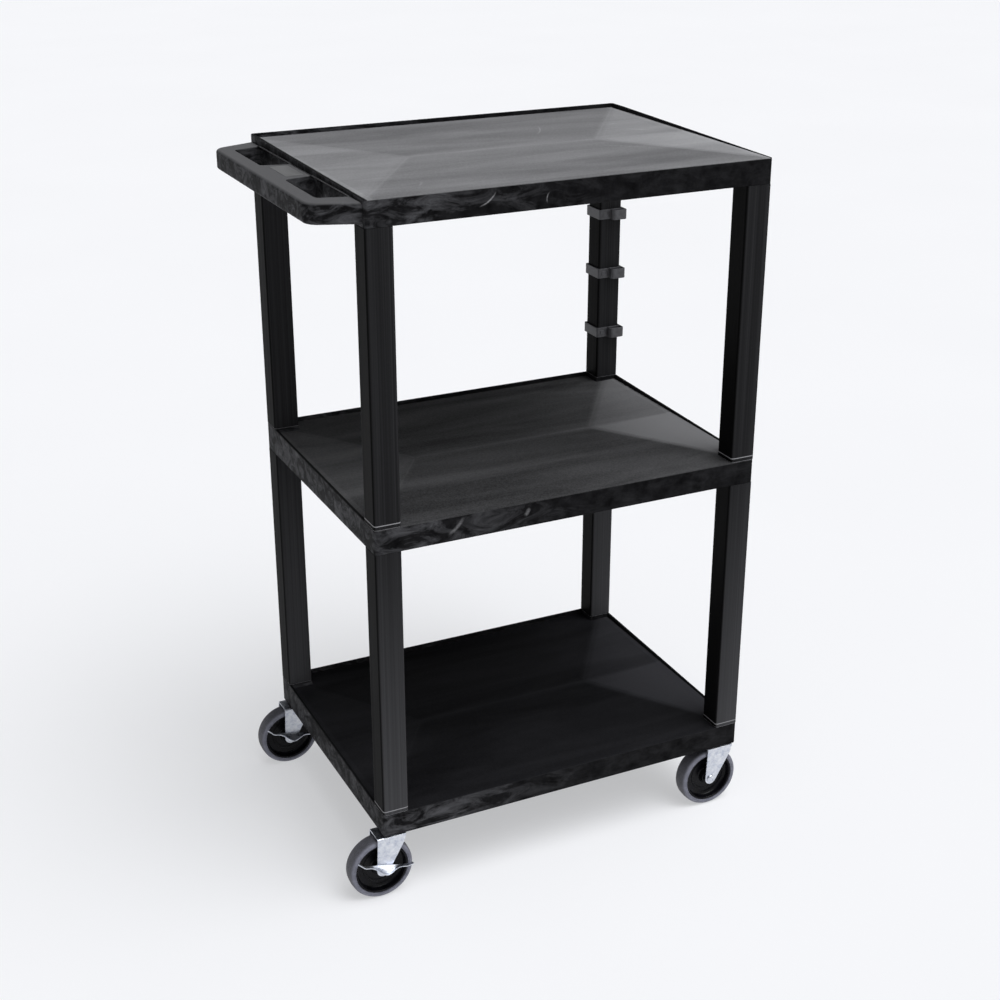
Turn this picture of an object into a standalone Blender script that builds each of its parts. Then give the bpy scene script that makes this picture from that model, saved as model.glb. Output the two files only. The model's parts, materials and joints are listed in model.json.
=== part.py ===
"""Three-shelf rolling utility cart: moulded shelves, square tube legs, cable clips and swivel casters.

The shelves run along X, the push handle is at the -X end, +Z is up and the floor is z = 0.
The origin is on the floor at the middle of the plan, handle and brake pedals included.
"""

import math

import bmesh
import bpy
from mathutils import Matrix, Vector

# Shelves. Heights are of the flat deck above the floor.
SHELF_LENGTH = 0.6230
SHELF_WIDTH = 0.4645
LEFT_X = -0.2820  # left face of the shelves
FRONT_Y = -0.2271  # front face of the shelves
DECK_HEIGHTS = {"bottom": 0.1475, "middle": 0.6125, "top": 1.0730}
SKIRT_DEPTH = 0.0370
DECK_THICKNESS = 0.0040
SKIRT_WALL = 0.0035
LIP_HEIGHT = 0.0065
LIP_WALL = 0.0045
SHELF_CORNER = 0.0055
RIB_THICKNESS = 0.0030
RIB_DEPTH = 0.0070
RIB_MEET = 0.1600  # from each short side to where its ribs meet, on the middle line
EDGE_CLEAR = 0.0100  # how far a cutter reaches past the face it cuts

# Legs: square tubes that slide over pegs on the shelf corners.
LEG_SIDE = 0.0404  # flush with the shelf faces, and the same as the pads it stands on
LIP_RISE = SHELF_WIDTH - LEG_SIDE  # the side lips rise from nothing at the front to full height over this
LEG_WALL = 0.0025
LEG_CORNER = 0.0050
PEG_LENGTH = 0.0250
PEG_CORNER = 0.0030
GAP = 0.0003  # between pieces that touch
PEG_CORE_RADIUS = 0.0105

# Push handle, moulded onto the top shelf.
HANDLE_TOP_DROP = 0.0040  # below the deck
HANDLE_HEIGHT = 0.0290
HANDLE_REACH = 0.0670  # outer face of the bar from the shelf's left face
BAR_WIDTH = 0.0240
ARM_OUTER = 0.0070  # arm's outer edge from the shelf's front or rear face, at the shelf
ARM_INNER = 0.0470
BAR_CORNER = 0.0330  # the same two distances at the bar
HOLE_CORNER = 0.0580
HANDLE_CORNER_RADIUS = 0.0180
BRIDGE_HALF_AT_BAR = 0.0520
BRIDGE_HALF_AT_SHELF = 0.0420
HANDLE_EDGE_RADIUS = 0.0045
HOLE_RADIUS = 0.0060

# Cable clips on the rear right upper leg.
CLIP_HEIGHTS = (0.9050, 0.8045, 0.7010)
CLIP_TALL = 0.0165
CLIP_WALL = 0.0024
CLIP_RETURN = 0.0070  # how far each jaw wraps round the back of the leg
LOOP_WIDTH = 0.0260
LOOP_DEPTH = 0.0120
CLIP_CORNER = 0.0030
LOOP_CORNER = 0.0050
LOOP_INNER_CORNER = 0.0020

# Casters. Local coordinates: swivel axis at x = y = 0, floor at z = 0, wheel trailing to -X.
CASTER_INSET = 0.0202  # swivel axis from the shelf's two outer faces
WHEEL_RADIUS = 0.0508
TYRE_WIDTH = 0.0270
TYRE_INNER_RADIUS = 0.0423
TYRE_SHOULDER = 0.0050
TREAD_CROWN = 0.0006
TRAIL = 0.0225
RIM_WIDTH = 0.0240
RIM_WALL = 0.0028
WEB_THICKNESS = 0.0040
BARREL_RADIUS = 0.0125
HUB_TAPER = 0.0025  # how far the dish's walls lean in
FORK_WIDTH = 0.0350
FORK_PLATE = 0.0025
FORK_TOP = 0.1072
AXLE_RADIUS = 0.0040
BOLT_HEAD_RADIUS = 0.0068
BOLT_HEAD = 0.0028
BOLT_END = 0.0065  # thread past the fork's outer face
NUT_RADIUS = 0.0073  # to its corners
NUT_THICKNESS = 0.0050
FORK_TIP_RADIUS = 0.0100
FORK_REAR_X = -0.0300
FORK_FRONT_X = 0.0165
FORK_STEP_HEIGHT = 0.0945  # where the slanted front edge starts
FORK_STEP_X = 0.0135
SLEEVE_RADIUS = 0.0062
STEM_RADIUS = 0.0055
STEM_TOP = 0.1600
STEM_HEAD_RADIUS = 0.0090
STEM_HEAD = 0.0018
SOCKET_RADIUS = 0.0102
RACE_RADIUS = 0.0150
CASTERS = {
    "front_left": (0, 0),
    "front_right": (1, 0),
    "rear_left": (0, 1),
    "rear_right": (1, 1),
}

# Side brake levers, on the -Y side of the two handle-end casters, shown released.
BRAKED = ("front_left", "rear_left")
LEVER_TILT = math.radians(13.0)
LEVER_HALF_LENGTH = 0.0460
LEVER_RISE = 0.0100  # tread plate above the axle
LEVER_REACH = 0.0165  # tread plate's middle from the fork's outer face
LEVER_SHOULDER = 0.0230
LEVER_END_REACH = 0.0085
LEVER_PLATE = 0.0016
LEVER_SWELL = 0.0010  # the plate is this much wider at its shoulders than at its ends
LEVER_NOSE = 0.0040  # half the straight stretch at its widest
WEB_HALF = 0.0200
WEB_EYE_RADIUS = 0.0095
PEDAL_HEIGHT = 0.0075
PEDAL_LENGTH = 0.0120
PEDAL_CORNER = 0.0040
OVERLAP = 0.0002  # between shapes joined into one piece

ROUND_STEPS = 28
SMALL_STEPS = 14


def clear_scene():
    for old in list(bpy.data.objects):
        bpy.data.objects.remove(old, do_unlink=True)


def make_material(name, colour, roughness, metallic=0.0):
    material = bpy.data.materials.new(name)
    material.use_nodes = True
    shader = material.node_tree.nodes["Principled BSDF"]
    shader.inputs["Base Color"].default_value = (*colour, 1.0)
    shader.inputs["Roughness"].default_value = roughness
    shader.inputs["Metallic"].default_value = metallic
    return material


def arc(centre, radius, start, end, steps):
    """Points on an arc, from one angle to another in degrees."""
    angles = [math.radians(start + (end - start) * i / steps) for i in range(steps + 1)]
    return [(centre[0] + radius * math.cos(a), centre[1] + radius * math.sin(a)) for a in angles]


def rounded_outline(corners, radius, steps=4):
    """A closed outline with each corner of a polygon rounded by a quadratic curve."""
    points = []
    for i, corner in enumerate(corners):
        here = Vector(corner)
        for_corner = radius[i] if isinstance(radius, (list, tuple)) else radius
        before = (Vector(corners[i - 1]) - here).normalized() * for_corner
        after = (Vector(corners[(i + 1) % len(corners)]) - here).normalized() * for_corner
        if for_corner == 0:
            points.append(tuple(here))
            continue
        for step in range(steps + 1):
            t = step / steps
            point = here + before * (1 - t) ** 2 + after * t**2
            points.append(tuple(point))
    return points


def rectangle(x0, y0, x1, y1):
    return [(x0, y0), (x1, y0), (x1, y1), (x0, y1)]


def prism(outline, low, high):
    """A bmesh with the outline, given anticlockwise from above, extruded along Z."""
    bm = bmesh.new()
    base = bm.faces.new([bm.verts.new((x, y, low)) for x, y in outline])
    top = bmesh.ops.extrude_face_region(bm, geom=[base])["geom"]
    moved = [v for v in top if isinstance(v, bmesh.types.BMVert)]
    bmesh.ops.translate(bm, verts=moved, vec=(0, 0, high - low))
    bmesh.ops.recalc_face_normals(bm, faces=bm.faces)
    return bm


def upright(bm):
    """Turns a prism drawn in X and Y so that its outline stands in X and Z, and its depth runs along -Y."""
    bmesh.ops.rotate(bm, verts=bm.verts, cent=(0, 0, 0), matrix=Matrix.Rotation(math.pi / 2, 3, "X"))
    return bm


def lathe(profile, steps=ROUND_STEPS):
    """A ring turned about the Y axis from a closed profile of (radius, y) points."""
    bm = bmesh.new()
    rings = []
    for step in range(steps):
        angle = 2 * math.pi * step / steps
        ring = [bm.verts.new((r * math.cos(angle), y, r * math.sin(angle))) for r, y in profile]
        rings.append(ring)
    for step in range(steps):
        ring, after = rings[step], rings[(step + 1) % steps]
        for i in range(len(profile)):
            j = (i + 1) % len(profile)
            bm.faces.new((ring[i], ring[j], after[j], after[i]))
    bmesh.ops.recalc_face_normals(bm, faces=bm.faces)
    return bm


def to_vertical(bm):
    """Turns a piece that was lathed about Y so that its axis is Z, with +Y becoming +Z."""
    bmesh.ops.rotate(bm, verts=bm.verts, cent=(0, 0, 0), matrix=Matrix.Rotation(math.pi / 2, 3, "X"))
    return bm


def add_object(name, bm, material=None, parent=None, location=(0, 0, 0)):
    mesh = bpy.data.meshes.new(name)
    bm.to_mesh(mesh)
    bm.free()
    mesh.set_sharp_from_angle(angle=math.radians(35))
    return place(name, mesh, material, parent, location)


def place(name, mesh, material=None, parent=None, location=(0, 0, 0)):
    made = bpy.data.objects.new(name, mesh)
    bpy.context.scene.collection.objects.link(made)
    made.parent = parent
    made.location = location
    if material and not mesh.materials:
        mesh.materials.append(material)
    return made


def add_axis(name, location, parent=None):
    """An empty on a joint's axis, which the moving pieces are parented to."""
    axis = bpy.data.objects.new(name, None)
    axis.empty_display_size = 0.02
    bpy.context.scene.collection.objects.link(axis)
    axis.location = location
    axis.parent = parent
    return axis


def combine(target, operation, bm):
    """Adds or removes a shape with an exact Boolean, and keeps the helper out of the render."""
    helper = add_object(f"{target.name}_{operation.lower()}_{len(target.modifiers)}", bm)
    helper.hide_render = True
    helper.display_type = "WIRE"
    boolean = target.modifiers.new(helper.name, "BOOLEAN")
    boolean.operation = operation
    boolean.object = helper
    boolean.solver = "EXACT"
    return helper


def corner_centre(side, depth, inset):
    """The point this far in from the shelf's two faces at a corner, side 0 left, depth 0 front."""
    x = LEFT_X + inset if side == 0 else LEFT_X + SHELF_LENGTH - inset
    y = FRONT_Y + inset if depth == 0 else FRONT_Y + SHELF_WIDTH - inset
    return x, y


def shelf_outline(inset, radius):
    x1, y1 = LEFT_X + SHELF_LENGTH - inset, FRONT_Y + SHELF_WIDTH - inset
    return rounded_outline(rectangle(LEFT_X + inset, FRONT_Y + inset, x1, y1), radius)


def tray_outline(has_legs_above):
    """Plan of the deck's recess inside the lips, open at the front, and stepped round the rear legs' pads."""
    x0, x1 = LEFT_X + LIP_WALL, LEFT_X + SHELF_LENGTH - LIP_WALL
    y0, y1 = FRONT_Y - EDGE_CLEAR, FRONT_Y + SHELF_WIDTH - LIP_WALL
    if not has_legs_above:
        return rectangle(x0, y0, x1, y1)
    left, right = LEFT_X + LEG_SIDE, LEFT_X + SHELF_LENGTH - LEG_SIDE
    front, rear = FRONT_Y + LEG_SIDE + GAP, FRONT_Y + SHELF_WIDTH - LEG_SIDE
    out_left, out_right = LEFT_X - EDGE_CLEAR, LEFT_X + SHELF_LENGTH + EDGE_CLEAR
    half = [(out_right, y0), (out_right, front), (x1, front), (x1, rear), (right, rear), (right, y1)]
    other = [(left, y1), (left, rear), (x0, rear), (x0, front), (out_left, front), (out_left, y0)]
    return half + other


def cavity_outline():
    """Plan of the hollow under a deck: inside the skirt, and round the four solid corners."""
    x0, x1 = LEFT_X + SKIRT_WALL, LEFT_X + SHELF_LENGTH - SKIRT_WALL
    y0, y1 = FRONT_Y + SKIRT_WALL, FRONT_Y + SHELF_WIDTH - SKIRT_WALL
    left, right = LEFT_X + LEG_SIDE, LEFT_X + SHELF_LENGTH - LEG_SIDE
    front, rear = FRONT_Y + LEG_SIDE, FRONT_Y + SHELF_WIDTH - LEG_SIDE
    lower = [(left, y0), (right, y0), (right, front), (x1, front), (x1, rear), (right, rear)]
    upper = [(right, y1), (left, y1), (left, rear), (x0, rear), (x0, front), (left, front)]
    return lower + upper


def rib_outline():
    """Plan of the ribs under a deck: from each corner and short side to two points, and between those."""
    middle, half = FRONT_Y + SHELF_WIDTH / 2, RIB_THICKNESS / 2
    ribs = []
    for side, inwards in ((LEFT_X, 1), (LEFT_X + SHELF_LENGTH, -1)):
        meet = Vector((side + inwards * RIB_MEET, middle))
        ends = [corner_centre((1 - inwards) // 2, depth, LEG_SIDE - RIB_THICKNESS) for depth in (0, 1)]
        ends += [(side + inwards * SKIRT_WALL / 2, middle), (LEFT_X + SHELF_LENGTH / 2, middle)]
        for end in ends:
            run = (Vector(end) - meet).normalized()
            across = Vector((-run.y, run.x)) * half
            start = meet - run * half
            ribs.append([start - across, Vector(end) - across, Vector(end) + across, start + across])
    return ribs


def peg(x, y, low, high):
    half = LEG_SIDE / 2 - LEG_WALL - 2 * GAP
    return prism(rounded_outline(rectangle(x - half, y - half, x + half, y + half), PEG_CORNER, 2), low, high)


def core(x, y, low, high):
    bm = to_vertical(solid_disc(PEG_CORE_RADIUS, low, high, SMALL_STEPS))
    bmesh.ops.translate(bm, verts=bm.verts, vec=(x, y, 0))
    return bm


def solid_disc(radius, low, high, steps):
    """A plain round bar along Y, from low to high."""
    bm = prism(arc((0, 0), radius, 0, 360 - 360 / steps, steps - 1), -high, -low)
    return upright(bm)


def lip_taper(deck):
    """A wedge that tapers the side lips down to the deck at the open front edge."""
    above = LIP_HEIGHT + EDGE_CLEAR
    outline = [(-EDGE_CLEAR, 0), (0, 0), (LIP_RISE, LIP_HEIGHT), (LIP_RISE, above), (-EDGE_CLEAR, above)]
    bm = prism(outline, -SHELF_LENGTH / 2 - EDGE_CLEAR, SHELF_LENGTH / 2 + EDGE_CLEAR)
    turn = Matrix(((0, 0, 1), (1, 0, 0), (0, 1, 0)))
    bmesh.ops.transform(bm, matrix=turn.to_4x4(), verts=bm.verts)
    bmesh.ops.translate(bm, verts=bm.verts, vec=(LEFT_X + SHELF_LENGTH / 2, FRONT_Y, deck))
    return bm


def make_shelf(level, material):
    deck = DECK_HEIGHTS[level]
    underside = deck - SKIRT_DEPTH
    shelf = add_object(
        f"{level}_shelf", prism(shelf_outline(0, SHELF_CORNER), underside, deck + LIP_HEIGHT), material
    )
    combine(shelf, "DIFFERENCE", prism(tray_outline(level != "top"), deck, deck + 2 * LIP_HEIGHT))
    combine(shelf, "DIFFERENCE", lip_taper(deck))
    combine(shelf, "DIFFERENCE", prism(cavity_outline(), underside - EDGE_CLEAR, deck - DECK_THICKNESS))
    for outline in rib_outline():
        combine(shelf, "UNION", prism(outline, deck - DECK_THICKNESS - RIB_DEPTH, deck - DECK_THICKNESS / 2))
    for side, depth in CASTERS.values():
        x, y = corner_centre(side, depth, LEG_SIDE / 2)
        low = underside if level == "bottom" else underside - PEG_LENGTH
        pad = deck + LIP_HEIGHT * depth
        high = deck - DECK_THICKNESS if level == "top" else pad + PEG_LENGTH
        if level != "bottom":
            combine(shelf, "UNION", peg(x, y, low, underside + PEG_LENGTH / 2))
        if level != "top":
            combine(shelf, "UNION", peg(x, y, deck - PEG_LENGTH / 2, high))
        top = high if level == "top" else high + EDGE_CLEAR
        combine(shelf, "DIFFERENCE", core(x, y, low - EDGE_CLEAR, top))
    return shelf


def handle_outline():
    """Plan of the handle: two arms that slant in from the corners to a straight bar."""
    x0, x1 = LEFT_X - HANDLE_REACH, LEFT_X + SKIRT_WALL / 2
    front, rear = FRONT_Y, FRONT_Y + SHELF_WIDTH
    corners = [
        (x1, front + ARM_OUTER),
        (x1, rear - ARM_OUTER),
        (x0, rear - BAR_CORNER),
        (x0, front + BAR_CORNER),
    ]
    return rounded_outline(corners, (0, 0, HANDLE_CORNER_RADIUS, HANDLE_CORNER_RADIUS), 6)


def hand_hole(low, high, end):
    """One of the two hand holes, end 0 towards the front, 1 towards the rear."""
    bar, wall = LEFT_X - HANDLE_REACH + BAR_WIDTH, LEFT_X
    middle = FRONT_Y + SHELF_WIDTH / 2
    face = FRONT_Y + SHELF_WIDTH * end
    inwards = 1 - 2 * end
    corners = [
        (wall, face + inwards * ARM_INNER),
        (wall, middle - inwards * BRIDGE_HALF_AT_SHELF),
        (bar, middle - inwards * BRIDGE_HALF_AT_BAR),
        (bar, face + inwards * HOLE_CORNER),
    ]
    if end:
        corners.reverse()
    return prism(rounded_outline(corners, HOLE_RADIUS, 3), low, high)


def add_handle(shelf, deck):
    """The handle, with its edges rounded, moulded onto the shelf's left skirt."""
    top = deck - HANDLE_TOP_DROP
    low = top - HANDLE_HEIGHT
    bm = prism(handle_outline(), low, top)
    outer = [
        e
        for e in bm.edges
        if len(e.link_faces) == 2 and abs(e.link_faces[0].normal.z - e.link_faces[1].normal.z) > 0.9
    ]
    bmesh.ops.bevel(bm, geom=outer, offset=HANDLE_EDGE_RADIUS, segments=3, profile=0.5, affect="EDGES")
    combine(shelf, "UNION", bm)
    for end in (0, 1):
        combine(shelf, "DIFFERENCE", hand_hole(low - EDGE_CLEAR, deck + EDGE_CLEAR, end))


def make_leg(name, x, y, low, high, material):
    """A square tube, open at both ends, standing on its own outline at low."""
    half = LEG_SIDE / 2
    inner = half - LEG_WALL
    outside = rounded_outline(rectangle(x - half, y - half, x + half, y + half), LEG_CORNER)
    inside = rounded_outline(rectangle(x - inner, y - inner, x + inner, y + inner), LEG_CORNER / 2)
    bm = bmesh.new()
    loops = [[bm.verts.new((*p, z)) for p in outline] for z in (low, high) for outline in (outside, inside)]
    pairs = [(loops[0], loops[2]), (loops[2], loops[3]), (loops[3], loops[1]), (loops[1], loops[0])]
    for first, second in pairs:
        for i in range(len(first)):
            j = (i + 1) % len(first)
            bm.faces.new((first[i], first[j], second[j], second[i]))
    bmesh.ops.recalc_face_normals(bm, faces=bm.faces)
    return add_object(name, bm, material)


def make_legs(material):
    spans = {"upper": ("middle", "top"), "lower": ("bottom", "middle")}
    for storey, (below, above) in spans.items():
        for place_name, (side, depth) in CASTERS.items():
            x, y = corner_centre(side, depth, LEG_SIDE / 2)
            low = DECK_HEIGHTS[below] + LIP_HEIGHT * depth + GAP
            high = DECK_HEIGHTS[above] - SKIRT_DEPTH - GAP
            make_leg(f"{storey}_leg_{place_name}", x, y, low, high, material)


def clip_outline():
    """Plan of a clip about the leg's centre: a C that hugs three sides of the tube, open at the back."""
    inner = LEG_SIDE / 2 + GAP
    outer = inner + CLIP_WALL
    jaw = outer - CLIP_RETURN
    return [
        (-outer, -outer),
        (outer, -outer),
        (outer, outer),
        (jaw, outer),
        (jaw, inner),
        (inner, inner),
        (inner, -inner),
        (-inner, -inner),
        (-inner, inner),
        (-jaw, inner),
        (-jaw, outer),
        (-outer, outer),
    ]


def make_clips(material):
    x, y = corner_centre(1, 1, LEG_SIDE / 2)
    front = -LEG_SIDE / 2 - GAP - CLIP_WALL
    right = LEG_SIDE / 2 + GAP + CLIP_WALL
    outside = CLIP_CORNER
    rounding = (outside, outside, outside, 0, 0, 0, 0, 0, 0, 0, 0, outside)
    loop = rectangle(right - LOOP_WIDTH, front - LOOP_DEPTH, right, front + CLIP_WALL / 2)
    hole = rectangle(
        right - LOOP_WIDTH + CLIP_WALL, front - LOOP_DEPTH + CLIP_WALL, right - CLIP_WALL, front
    )
    for number, height in enumerate(CLIP_HEIGHTS, start=1):
        low, high = -CLIP_TALL / 2, CLIP_TALL / 2
        clip = add_object(
            f"cable_clip_{number}", prism(rounded_outline(clip_outline(), rounding, 3), low, high), material
        )
        clip.location = (x, y, height)
        for operation, outline, over in (("UNION", loop, 0.0), ("DIFFERENCE", hole, EDGE_CLEAR)):
            radius = (LOOP_CORNER, LOOP_CORNER, 0, 0) if operation == "UNION" else LOOP_INNER_CORNER
            shape = prism(rounded_outline(outline, radius, 3), low - over, high + over)
            combine(clip, operation, shape).location = clip.location


def tyre_profile():
    """Section of the tread: flat sides, a slightly crowned face and round shoulders."""
    half = TYRE_WIDTH / 2
    lower = [(TYRE_INNER_RADIUS, -half)]
    centre = (WHEEL_RADIUS - TREAD_CROWN - TYRE_SHOULDER, -half + TYRE_SHOULDER)
    side = arc(centre, TYRE_SHOULDER, -90, 0, 2)
    crown = [(WHEEL_RADIUS, 0.0)]
    return lower + side + crown + [(r, -y) for r, y in reversed(side)] + [(TYRE_INNER_RADIUS, half)]


def hub_profile():
    """Section of the hub: a thin rim, a thin web in a deep recess, and the barrel round the axle."""
    half, web = RIM_WIDTH / 2, WEB_THICKNESS / 2
    rim = TYRE_INNER_RADIUS - GAP
    inner = rim - RIM_WALL
    bore = SLEEVE_RADIUS + GAP
    side = [(bore, -half), (BARREL_RADIUS, -half), (BARREL_RADIUS + HUB_TAPER, -web)]
    side += [(inner - HUB_TAPER, -web), (inner, -half), (rim, -half)]
    return side + [(r, -y) for r, y in reversed(side)]


def fork_plate_outline():
    """Side view of one fork plate, from the crown down to the round end at the axle."""
    tip = arc((-TRAIL, WHEEL_RADIUS), FORK_TIP_RADIUS, 178, 325, 8)
    return [(FORK_FRONT_X, FORK_TOP), (FORK_REAR_X, FORK_TOP)] + tip + [(FORK_STEP_X, FORK_STEP_HEIGHT)]


def make_fork(material):
    """Stamped fork: two plates and the crown between them, with holes for the axle and the stem."""
    outline = fork_plate_outline()
    half = FORK_WIDTH / 2
    outline.reverse()
    fork = add_object("fork_blank", upright(prism(outline, -half, half)), material)
    inside = rectangle(-WHEEL_RADIUS, -half + FORK_PLATE, WHEEL_RADIUS, half - FORK_PLATE)
    combine(fork, "DIFFERENCE", prism(inside, 0.0, FORK_TOP - FORK_PLATE))
    axle = solid_disc(AXLE_RADIUS + GAP, -half - EDGE_CLEAR, half + EDGE_CLEAR, SMALL_STEPS)
    bmesh.ops.translate(axle, verts=axle.verts, vec=(-TRAIL, 0, WHEEL_RADIUS))
    combine(fork, "DIFFERENCE", axle)
    stem = solid_disc(STEM_RADIUS + GAP, FORK_TOP - EDGE_CLEAR, FORK_TOP + EDGE_CLEAR, SMALL_STEPS)
    combine(fork, "DIFFERENCE", to_vertical(stem))
    return fork


def stem_profile():
    head_top = FORK_TOP - FORK_PLATE - GAP
    head_low = head_top - STEM_HEAD
    return [(0.0, head_low), (STEM_HEAD_RADIUS, head_low), (STEM_HEAD_RADIUS, head_top),
            (STEM_RADIUS, head_top), (STEM_RADIUS, STEM_TOP), (0.0, STEM_TOP)]


def turned_bar(profile, steps=SMALL_STEPS):
    """A solid bar turned about Y from (radius, y) points that start and end on the axis."""
    bm = bmesh.new()
    rings = []
    for radius, y in profile:
        count = 1 if radius == 0 else steps
        angles = [2 * math.pi * i / steps for i in range(count)]
        rings.append([bm.verts.new((radius * math.cos(a), y, radius * math.sin(a))) for a in angles])
    for first, second in zip(rings, rings[1:]):
        for i in range(steps):
            j = (i + 1) % steps
            a, b = first[i % len(first)], first[j % len(first)]
            c, d = second[j % len(second)], second[i % len(second)]
            bm.faces.new([v for k, v in enumerate((a, b, c, d)) if v not in (a, b, c, d)[:k]])
    bmesh.ops.recalc_face_normals(bm, faces=bm.faces)
    return bm


def tube_profile(inner, outer, low, high):
    return [(inner, low), (outer, low), (outer, high), (inner, high)]


def axle_bolt_profile(front_thickness):
    """Domed head on the -Y side, shank through to the nut on the +Y side."""
    face = -FORK_WIDTH / 2 - front_thickness - GAP
    end = FORK_WIDTH / 2 + BOLT_END
    dome = [(0.0, 1.0), (0.66, 0.86), (1.0, 0.29), (1.0, 0.0)]  # shares of the head's radius and height
    head = [(r * BOLT_HEAD_RADIUS, face - h * BOLT_HEAD) for r, h in dome]
    return head + [(AXLE_RADIUS, face), (AXLE_RADIUS, end), (0.0, end)]


def make_nut():
    """A hexagon nut that bears on the fork's +Y plate."""
    start = FORK_WIDTH / 2 + GAP
    outline = arc((0, 0), NUT_RADIUS, 0, 300, 5)
    return upright(prism(outline, -start - NUT_THICKNESS, -start))


def lever_outline():
    """Plan of the tread plate: widest in the middle, narrower at its two ends."""
    near = -FORK_WIDTH / 2 - GAP
    far = near - LEVER_REACH
    end = near - LEVER_END_REACH
    shoulder = end - LEVER_SWELL
    ends = [(-LEVER_HALF_LENGTH, end), (-LEVER_SHOULDER, shoulder), (-LEVER_NOSE, far), (LEVER_NOSE, far)]
    return ends + [(LEVER_SHOULDER, shoulder), (LEVER_HALF_LENGTH, end), (LEVER_HALF_LENGTH, near),
                   (-LEVER_HALF_LENGTH, near)]


def lever_web_outline():
    """Side view of the web that turns on the axle and carries the tread plate."""
    top = LEVER_RISE + LEVER_PLATE / 2
    return [(WEB_HALF, top), (-WEB_HALF, top)] + arc((0, 0), WEB_EYE_RADIUS, 200, 340, 6)


def make_lever(name, material, axis):
    """A pressed lever: web on the fork, tread plate above the axle, and an upturned tab at each end."""
    near = -FORK_WIDTH / 2 - GAP
    lever = add_object(name, prism(lever_outline(), LEVER_RISE, LEVER_RISE + LEVER_PLATE), material, axis)
    lever.rotation_euler = (0, LEVER_TILT, 0)
    web = upright(prism(lever_web_outline(), -near, -near + LEVER_PLATE))
    bore = solid_disc(AXLE_RADIUS + GAP, near - EDGE_CLEAR, near + EDGE_CLEAR, SMALL_STEPS)
    tabs = []
    for end in (-1, 1):
        inner, outer = sorted((end * (LEVER_HALF_LENGTH - PEDAL_LENGTH), end * LEVER_HALF_LENGTH))
        edge = near - LEVER_END_REACH
        top = LEVER_RISE + PEDAL_HEIGHT
        corners = (0, 0, PEDAL_CORNER, PEDAL_CORNER)
        outline = rounded_outline(rectangle(inner, LEVER_RISE, outer, top), corners, 3)
        tabs.append(upright(prism(outline, -edge - LEVER_PLATE, -edge + OVERLAP)))
    for operation, bm in (("UNION", web), ("UNION", tabs[0]), ("UNION", tabs[1]), ("DIFFERENCE", bore)):
        helper = combine(lever, operation, bm)
        helper.parent = axis
        helper.rotation_euler = lever.rotation_euler
    return lever


def make_caster(place_name, side, depth, materials, meshes):
    """One caster: fixed stem, race and socket, the swivelling fork, and the wheel on its axle."""
    x, y = corner_centre(side, depth, CASTER_INSET)
    swivel = add_axis(f"swivel_axis_{place_name}", (x, y, 0))
    axle = add_axis(f"axle_axis_{place_name}", (-TRAIL, 0, WHEEL_RADIUS), swivel)
    for piece, slot, parent in (
        ("stem_socket", "black_plastic", swivel),
        ("stem", "zinc_plate", swivel),
        ("swivel_race", "zinc_plate", swivel),
        ("axle_sleeve", "zinc_plate", axle),
        ("axle_nut", "zinc_plate", axle),
        ("wheel_hub", "hub_plastic", axle),
        ("tyre", "grey_rubber", axle),
    ):
        place(f"{piece}_{place_name}", meshes[piece], materials[slot], parent)
    braked = place_name in BRAKED
    place(f"axle_bolt_{place_name}", meshes["braked_bolt" if braked else "plain_bolt"],
          materials["zinc_plate"], axle)
    fork = make_fork(materials["zinc_plate"])
    fork.name = f"fork_{place_name}"
    for part_of_fork in [fork] + [m.object for m in fork.modifiers]:
        part_of_fork.parent = swivel
    if braked:
        make_lever(f"brake_lever_{place_name}", materials["zinc_plate"], axle)


def shared_meshes():
    """The turned pieces that every caster repeats."""
    race_low, race_high = FORK_TOP + GAP, DECK_HEIGHTS["bottom"] - SKIRT_DEPTH - GAP
    half = FORK_WIDTH / 2 - FORK_PLATE - GAP
    nut = add_object("nut_blank", make_nut())
    combine(nut, "DIFFERENCE", solid_disc(AXLE_RADIUS + GAP, 0.0, FORK_WIDTH, SMALL_STEPS))
    bpy.context.view_layer.update()
    nut_mesh = bpy.data.meshes.new_from_object(nut.evaluated_get(bpy.context.evaluated_depsgraph_get()))
    for helper in [m.object for m in nut.modifiers] + [nut]:
        bpy.data.objects.remove(helper, do_unlink=True)
    shapes = {
        "tyre": lathe(tyre_profile()),
        "wheel_hub": lathe(hub_profile()),
        "axle_sleeve": lathe(tube_profile(AXLE_RADIUS + GAP, SLEEVE_RADIUS, -half, half), SMALL_STEPS),
        "stem": to_vertical(turned_bar(stem_profile())),
        "swivel_race": to_vertical(
            lathe(tube_profile(STEM_RADIUS + GAP, RACE_RADIUS, race_low, race_high), SMALL_STEPS)
        ),
        "stem_socket": to_vertical(
            lathe(tube_profile(STEM_RADIUS + GAP, SOCKET_RADIUS, race_high + 2 * GAP, STEM_TOP), SMALL_STEPS)
        ),
        "plain_bolt": turned_bar(axle_bolt_profile(0.0)),
        "braked_bolt": turned_bar(axle_bolt_profile(LEVER_PLATE + GAP)),
    }
    meshes = {"axle_nut": nut_mesh}
    for name, bm in shapes.items():
        meshes[name] = bpy.data.meshes.new(name)
        bm.to_mesh(meshes[name])
        bm.free()
        meshes[name].shade_smooth()
        meshes[name].set_sharp_from_angle(angle=math.radians(35))
    return meshes


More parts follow.
